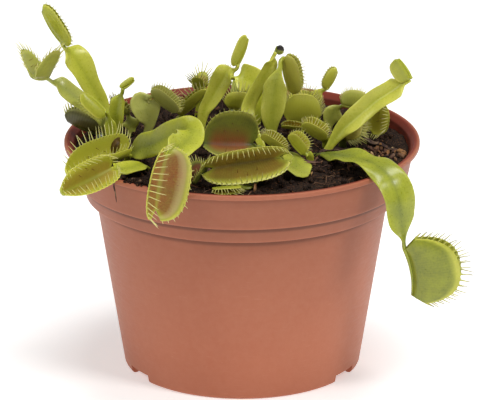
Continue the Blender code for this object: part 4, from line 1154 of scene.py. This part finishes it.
class Trap:
    """The two lobes of a trap on their hinge."""

    def __init__(self, leaf):
        self.leaf = leaf
        self.start = np.array(leaf["stem"][-1], float)
        hinge = np.array(leaf["tip"], float) - self.start
        self.length = np.linalg.norm(hinge)
        self.along = unit(hinge)
        mouth = direction(*leaf["mouth"])
        self.mouth = unit(mouth - self.along * np.dot(mouth, self.along))
        self.across = np.cross(self.along, self.mouth)

    def bend(self, side, v):
        """The angle from the mouth's direction at a place v out on a lobe."""
        band = BAND_TURN * ease(v, 0.84, 1.0) if self.leaf["depth"] > 3.5 else 0.0
        return np.radians(of_side(self.leaf["gape"], side) + self.leaf["belly"] * (1.0 - 2.0 * v) + band)

    def outline(self, u):
        return (1.0 - np.abs(2.0 * u - 1.0) ** ROUNDNESS) ** (1.0 / ROUNDNESS)

    def sag(self, u):
        return self.leaf["arch"] * self.length * 4.0 * u * (1.0 - u)

    def hinge(self, u):
        return self.start + self.along * (self.length * u)[..., None] - self.mouth * self.sag(u)[..., None]

    def point(self, side, u, v, scallop=0.0):
        """Points of a lobe, u along the hinge and v out to the margin, as arrays."""
        u, v = np.broadcast_arrays(np.asarray(u, float), np.asarray(v, float))
        steps = np.linspace(0.0, 1.0, LOBE_STEPS + 1)
        angles = self.bend(side, steps)
        middle = 0.5 * (angles[1:] + angles[:-1])
        rise = np.concatenate([[0.0], np.cumsum(np.cos(middle))]) / LOBE_STEPS
        spread = np.concatenate([[0.0], np.cumsum(np.sin(middle))]) / LOBE_STEPS
        share = self.leaf["uneven"] if side < 0 else 1.0
        reach = share * self.leaf["depth"] * self.outline(u) * (1.0 + scallop)
        run = self.length * (u + self.leaf["flare"] * (u - 0.5) * v)
        high = reach * np.interp(v, steps, rise) - self.sag(u)
        wide = side * reach * np.interp(v, steps, spread)
        return (self.start + self.along * run[..., None] + self.mouth * high[..., None]
                + self.across * wide[..., None])

    def seat(self, side, u, v, towards, step=0.02):
        """A place on a lobe, the way along the hinge there, and the way out of it."""
        base = self.point(side, u, v)
        ahead = self.point(side, u + 0.02, v) - base
        normal = unit(np.cross(ahead, self.point(side, u, v + step) - base))
        return base, ahead, normal if np.dot(normal, towards) > 0 else -normal


def lash_places(trap, side):
    """Where lashes stand along the margin of a lobe, as shares of the hinge."""
    spacing = trap.leaf["spacing"] or float(np.clip(trap.length / 10.0, 0.85, 1.6))
    u = np.linspace(0.0, 1.0, 240)
    path = trap.point(side, u, np.ones_like(u))
    run = np.concatenate([[0.0], np.cumsum(np.linalg.norm(np.diff(path, axis=0), axis=1))])
    usable = run[-1] * 0.9
    count = max(int(usable / spacing), 6)
    where = run[-1] * 0.05 + usable * (np.arange(count) + 0.5) / count
    return np.interp(where, run, u)


print("hinges of", round(min(Trap(leaf).length for leaf in LEAVES.values()), 1), "to",
      round(max(Trap(leaf).length for leaf in LEAVES.values()), 1), "mm")

# %% [markdown]
# Both lobes are one skin, from one margin over the hinge to the other margin. It is thickest
# at the hinge, and its margin swells a little under each lash.

# %% The skin of a trap
LOBE_COLUMNS = 13
TRAP_ROW = 0.3
SWELLING = 0.35
SWELLING_WIDTH = 0.32


def trap_shell(trap, lashes):
    """Loops, faces and layers of both lobes."""
    leaf = trap.leaf
    rows = int(np.clip(trap.length / TRAP_ROW, 30, 84))
    u = 0.5 - 0.5 * np.cos(math.pi * np.linspace(0.05, 0.95, rows))
    u = (u - u[0]) / (u[-1] - u[0]) * 0.992 + 0.004
    out = np.sin(math.pi / 2.0 * np.linspace(0.0, 1.0, LOBE_COLUMNS))
    grid_u, grid_v = np.meshgrid(u, out, indexing="ij")
    lobes = []
    for side, places in zip((-1, 1), lashes):
        away = (u[:, None] - places[None, :]) * trap.length
        swell = np.exp(-(away / SWELLING_WIDTH) ** 2).max(axis=1)
        scallop = (SWELLING / leaf["depth"]) * swell[:, None] * grid_v ** 8
        lobes.append(trap.point(side, grid_u, grid_v, scallop))
    inner = np.concatenate([lobes[0][:, ::-1], lobes[1][:, 1:]], axis=1)
    v = np.concatenate([out[::-1], out[1:]])[None, :]
    normal = np.cross(np.gradient(inner, axis=0), np.gradient(inner, axis=1))
    normal = normal / np.maximum(np.linalg.norm(normal, axis=2, keepdims=True), 1e-9)
    if np.dot(normal[rows // 2, LOBE_COLUMNS - 1], trap.mouth) < 0:
        normal = -normal
    reach = v * leaf["depth"] * trap.outline(u)[:, None]
    slim = np.clip(leaf["depth"] / 6.0, 0.65, 1.0)
    thick = slim * (0.58 + 0.6 * np.exp(-(reach / 1.3) ** 2) - 0.12 * v)
    loop = thicken(inner, normal, thick, np.sqrt(np.maximum(1.0 - v ** 12, 0.0)))
    count = inner.shape[1]
    inside = np.concatenate([np.ones(count), np.zeros(count - 2)])
    layers = {"inside": np.broadcast_to(inside, (rows, len(inside))), "v": both_faces(v, rows),
              "side": both_faces(np.sign(np.arange(count) - (count - 1) / 2.0), rows),
              "ends": np.broadcast_to(trap.outline(u)[:, None], (rows, len(inside))),
              "share": np.broadcast_to(u[:, None], (rows, len(inside)))}
    return loop, skin_faces(rows, loop.shape[1], count), layers


# %% [markdown]
# Lashes are stiff bristles, almost half a millimetre thick at the root, that taper to a tip and
# curve slightly. They lean out of the trap's plane and splay towards its ends, like the teeth
# of a comb that is bent round a corner. Each lobe of a wide open trap also has three fine
# trigger hairs in its middle. Hair curves could make them, but thin tubes stay part of the leaf's
# mesh and go wherever it goes.

# %% Lashes and trigger hairs
LASH_SIDES = 5
TRIGGER_PLACES = ((0.36, 0.42), (0.62, 0.4), (0.5, 0.62))
TRIGGER_LENGTH = 1.5


def add_lashes(pile, trap, side, places, generator):
    leaf = trap.leaf
    longest = leaf["lash"] * of_side(leaf["long"], side)
    root = min(0.2, 0.1 + 0.024 * longest)
    lean = math.radians(of_side(leaf["lean"], side))
    t = np.linspace(0.0, 1.0, 7)
    tube_t = np.repeat(t, LASH_SIDES)
    for u in places:
        base = trap.point(side, u, 0.965)
        angle = trap.bend(side, 1.0) - lean + generator.normal(0.0, 0.13)
        way = trap.mouth * math.cos(angle) + trap.across * side * math.sin(angle)
        outwards = -trap.mouth * math.sin(angle) + trap.across * side * math.cos(angle)
        way = unit(way + trap.along * (0.75 * (2.0 * u - 1.0) + generator.normal(0.0, 0.07)))
        length = longest * (1.0 - 0.4 * abs(2.0 * u - 1.0) ** 2) * generator.uniform(0.76, 1.14)
        curl = of_side(leaf["curl"], side) + generator.normal(0.0, 0.04)
        path = base + way * t[:, None] * (length + 0.3) + outwards * curl * length * t[:, None] ** 2
        pile.add(*tube(path, root * (1.0 - t) ** 0.7 * 0.9 + 0.03, LASH_SIDES), tone=0.75,
                 pale=leaf["lash_pale"] * (0.35 + 0.65 * tube_t ** 0.5),
                 char=leaf["lash_char"] * ease(tube_t, 0.6, 0.9),
                 blush=leaf["lash_blush"] * (1.0 - tube_t), warmth=leaf["warmth"])


def add_trigger_hairs(pile, trap):
    for side in (-1, 1):
        for u, v in TRIGGER_PLACES:
            base, _, normal = trap.seat(side, u, v, trap.mouth)
            path = base + normal * np.linspace(-0.1, 1.0, 4)[:, None] * TRIGGER_LENGTH
            pile.add(*tube(path, [0.1, 0.09, 0.06, 0.03], 5), tone=0.3, warmth=0.9, blush=0.8)


# %% [markdown]
# One trap holds what is left of an insect: a dark oval heap stuck to a lobe, with a lighter ring
# round it. It is a skin over nine rough rings, and the rings' sizes and heights give its
# outline from the side.

# %% A caught insect
PREY_PLACE = (0.19, 0.52)
PREY_RINGS = [  # radius, height and how dark
    (3.0, -0.3, 0.25), (2.7, 0.1, 0.375), (2.2, 0.25, 0.5), (1.8, 0.2, 0.25), (1.5, 0.55, 0.45),
    (1.35, 0.9, 0.678), (1.0, 1.2, 0.569), (0.6, 1.3, 0.459), (0.1, 1.25, 0.35)]
PREY_SIDES = 18


def add_prey(pile, trap, generator):
    centre, ahead, normal = trap.seat(1, *PREY_PLACE, trap.mouth - trap.across, 0.03)
    first = unit(ahead)
    second = np.cross(normal, first)
    turn = 2.0 * math.pi * np.arange(PREY_SIDES)[:, None] / PREY_SIDES
    ring = np.cos(turn) * first * 0.62 + np.sin(turn) * second
    rows = []
    for radius, height, _ in PREY_RINGS:
        rough = generator.uniform(0.88, 1.12, PREY_SIDES)[:, None]
        rows.append(centre + ring * radius * 1.15 * rough + normal * (height + 0.35))
    dark = np.repeat([entry[2] for entry in PREY_RINGS], PREY_SIDES)
    pile.add(rows, skin_faces(len(rows), PREY_SIDES, PREY_SIDES), tone=0.3, blush=0.85, warmth=0.3,
             char=dark)


# %% [markdown]
# ## The leaf's finish
# A young leaf is a bright yellow-green that lets some light through; an old or shaded one is
# darker and duller. Inside an open trap the skin turns from olive through orange-brown to dark
# red, with fine ribs across the lobe, and its margin stays green. One finish does all of this:
# it reads the layers of each point and adds the small-scale variation with noise.

# %% Living leaf
GREENS = [(0.0, colour(41, 51, 22)), (0.2, colour(74, 87, 32)), (0.4, colour(115, 126, 42)),
          (0.6, colour(155, 162, 44)), (0.8, colour(186, 190, 54)), (1.0, colour(212, 212, 80))]
WARM_COLOURS = [(0.0, colour(132, 122, 44)), (0.3, colour(146, 100, 36)), (0.5, colour(156, 80, 34)),
                (0.7, colour(172, 68, 40)), (0.85, colour(140, 38, 34)), (1.0, colour(92, 22, 30))]
RIBS_PER_MM = 9.0 / (2.0 * math.pi)


def make_leaf_finish():
    finish, tree, shader = new_finish("living_leaf")
    broad = grain(tree, 170.0, 3.0)
    fine = grain(tree, 1400.0, 4.0, 0.6)
    specks = grain(tree, 4200.0, 2.0)
    layer = {name: read_layer(tree, name) for name in LAYERS}
    tone = calculate(tree, "ADD", layer["tone"], spread_range(tree, broad, 0.3, 0.7, -0.07, 0.07))
    tone = calculate(tree, "ADD", tone, spread_range(tree, fine, 0.3, 0.7, -0.045, 0.045))
    green = blend(tree, layer["grey"], ramp(tree, tone, GREENS), colour(156, 158, 118))
    warmth = calculate(tree, "ADD", layer["warmth"], spread_range(tree, broad, 0.3, 0.7, -0.1, 0.1))
    freckles = spread_range(tree, specks, 0.45, 0.75, 0.0, 0.45)
    warm = blend(tree, freckles, ramp(tree, warmth, WARM_COLOURS), colour(84, 34, 26))
    blush = calculate(tree, "MULTIPLY", layer["blush"], spread_range(tree, fine, 0.25, 0.55, 0.72, 1.0))
    turns = calculate(tree, "MULTIPLY", layer["vein"], 2.0 * math.pi * RIBS_PER_MM)
    veins = spread_range(tree, calculate(tree, "SINE", turns), -1.0, 1.0)
    skin = blend(tree, blush, green, warm)
    skin = blend(tree, calculate(tree, "MULTIPLY", veins, 0.035), skin, colour(214, 206, 112))
    skin = blend(tree, layer["pale"], skin, colour(226, 216, 150))
    gloss = spread_range(tree, fine, 0.3, 0.7, 0.24, 0.4)
    relief = calculate(tree, "ADD", calculate(tree, "MULTIPLY", veins, 0.35), fine)
    feed(tree, shader, {
        "Base Color": blend(tree, layer["char"], skin, colour(34, 24, 20)),
        "Roughness": calculate(tree, "ADD", gloss, calculate(tree, "MULTIPLY", layer["blush"], 0.35)),
        "Specular IOR Level": 0.5, "Subsurface Weight": 0.3,
        "Subsurface Radius": (0.0011, 0.0014, 0.0004), "Normal": bump(tree, relief, 0.022)})
    return finish


leaf_finish = make_leaf_finish()
print("the leaf's finish has", len(leaf_finish.node_tree.nodes), "nodes")

# %% [markdown]
# The layers of each point follow simple rules. A blade is lighter at its edge and darker on
# its midrib and near the peat. A trap's inner colour starts at the hinge, fades out before the
# margin and at both ends, and the margin is a lighter band with a darker groove under it. Some
# traps also get a painted sheen: a pale haze painted inside one lobe, as a highlight.

# %% Colour the points
def blade_layers(leaf, layers):
    tone = leaf["tone"] - 0.12 * layers["rib"] + 0.14 * layers["edge"]
    tone = tone - 0.15 * (1.0 - ease(layers["run"], 0.1, 0.45))
    return dict(tone=tone, vein=layers["vein"], grey=leaf["grey"], pale=0.06 * layers["edge"])


def trap_layers(leaf, layers, length):
    v, inside, share, hinge = layers["v"], layers["inside"], layers["share"], leaf["hinge"]
    low, high = leaf["bell"]
    blush = leaf["blush"] * inside * (hinge + (1.0 - hinge) * ease(v, 0.0, 0.15))
    blush = blush * ease(share, low, low + 0.25) * (1.0 - ease(share, high - 0.25, high))
    blush = blush * (1.0 - 0.92 * ease(v, *leaf["fade"])) * ease(layers["ends"], 0.2, 0.7)
    band = ease(v, 0.8, 0.93)
    groove = np.exp(-((v - 0.84) / 0.035) ** 2) + 0.5 * (1.0 - ease(v, 0.2, 0.8)) * (1.0 - inside)
    groove = groove + 1.5 * hinge * inside * (1.0 - ease(v, 0.0, 0.12))
    # Painted sheen: a pale haze painted inside the lobe, as a highlight.
    painted_sheen = leaf["sheen"] * inside * ease(v, 0.48, 0.7) * (1.0 - ease(v, 0.78, 0.9))
    return dict(tone=leaf["trap"] + leaf["band"] * band - 0.13 * groove,
                blush=blush + leaf["outer"] * (1.0 - inside), warmth=leaf["warmth"], grey=leaf["grey"],
                pale=0.1 * band + painted_sheen * (layers["side"] < 0), vein=share * length,
                char=leaf["char_tip"] * ease(share, 0.4, 0.7))


# %% [markdown]
# Now a leaf can be grown: the blade, the trap, the thick rib under its hinge, and the lashes.
# The generator is seeded with the leaf's name, so that a leaf stays the same when another one
# is changed. Each grown leaf takes the place of its packed one.

# %% Grow the leaves
def add_hinge_rib(pile, leaf, trap):
    """The rounded end of the midrib, which runs under the hinge and thins out."""
    u = np.linspace(-0.06, 1.0, 16)
    on_hinge = np.clip(u, 0.0, 1.0)
    before = trap.along * (np.minimum(u, 0.0) * trap.length)[:, None]
    rib = trap.hinge(on_hinge) - trap.mouth * 0.75 + before
    slim = np.clip(leaf["depth"] / 6.0, 0.6, 1.0)
    pile.add(*tube(rib, slim * (0.72 - 0.42 * on_hinge), 8), tone=leaf["trap"] + 0.04, grey=leaf["grey"])


def grow_leaf(name, leaf):
    generator = np.random.default_rng(sum(ord(letter) for letter in name))
    pile = Pile()
    loop, faces, layers = blade_shell(leaf, midrib(leaf), generator)
    pile.add(loop, faces, **blade_layers(leaf, layers))
    trap = Trap(leaf)
    lashes = [lash_places(trap, side) for side in (-1, 1)]
    loop, faces, layers = trap_shell(trap, lashes)
    pile.add(loop, faces, **trap_layers(leaf, layers, trap.length))
    add_hinge_rib(pile, leaf, trap)
    if leaf["prey"]:
        add_prey(pile, trap, generator)
    if leaf["lash"] > 0.0:
        for side, places in zip((-1, 1), lashes):
            add_lashes(pile, trap, side, places, generator)
    if of_side(leaf["gape"], 1) + leaf["belly"] > 35 and leaf["depth"] > 7:
        add_trigger_hairs(pile, trap)
    piece = pile.piece("grown_" + name, leaf_finish, "leaf")
    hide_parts("leaf_" + name)
    return piece


grown = [grow_leaf(name, {**ORDINARY, **facts}) for name, facts in LEAVES.items()]
print(len(grown), "leaves have", sum(len(piece.data.polygons) for piece in grown), "faces")

# %% [markdown]
# ## Last measurements
# The finer plant has to stay within the imported one's box, give or take a few hundredths of a
# side. How far it sticks out of the imported box on each side is written down, so that the
# boxes can be compared.

# %% Compare the boxes and finish
dressed_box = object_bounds()
for axis in range(3):
    low = (solid_box[0][axis] - dressed_box[0][axis]) / MM
    high = (dressed_box[1][axis] - solid_box[1][axis]) / MM
    print("XYZ"[axis], "sticks out by", round(low, 2), "and", round(high, 2), "mm")
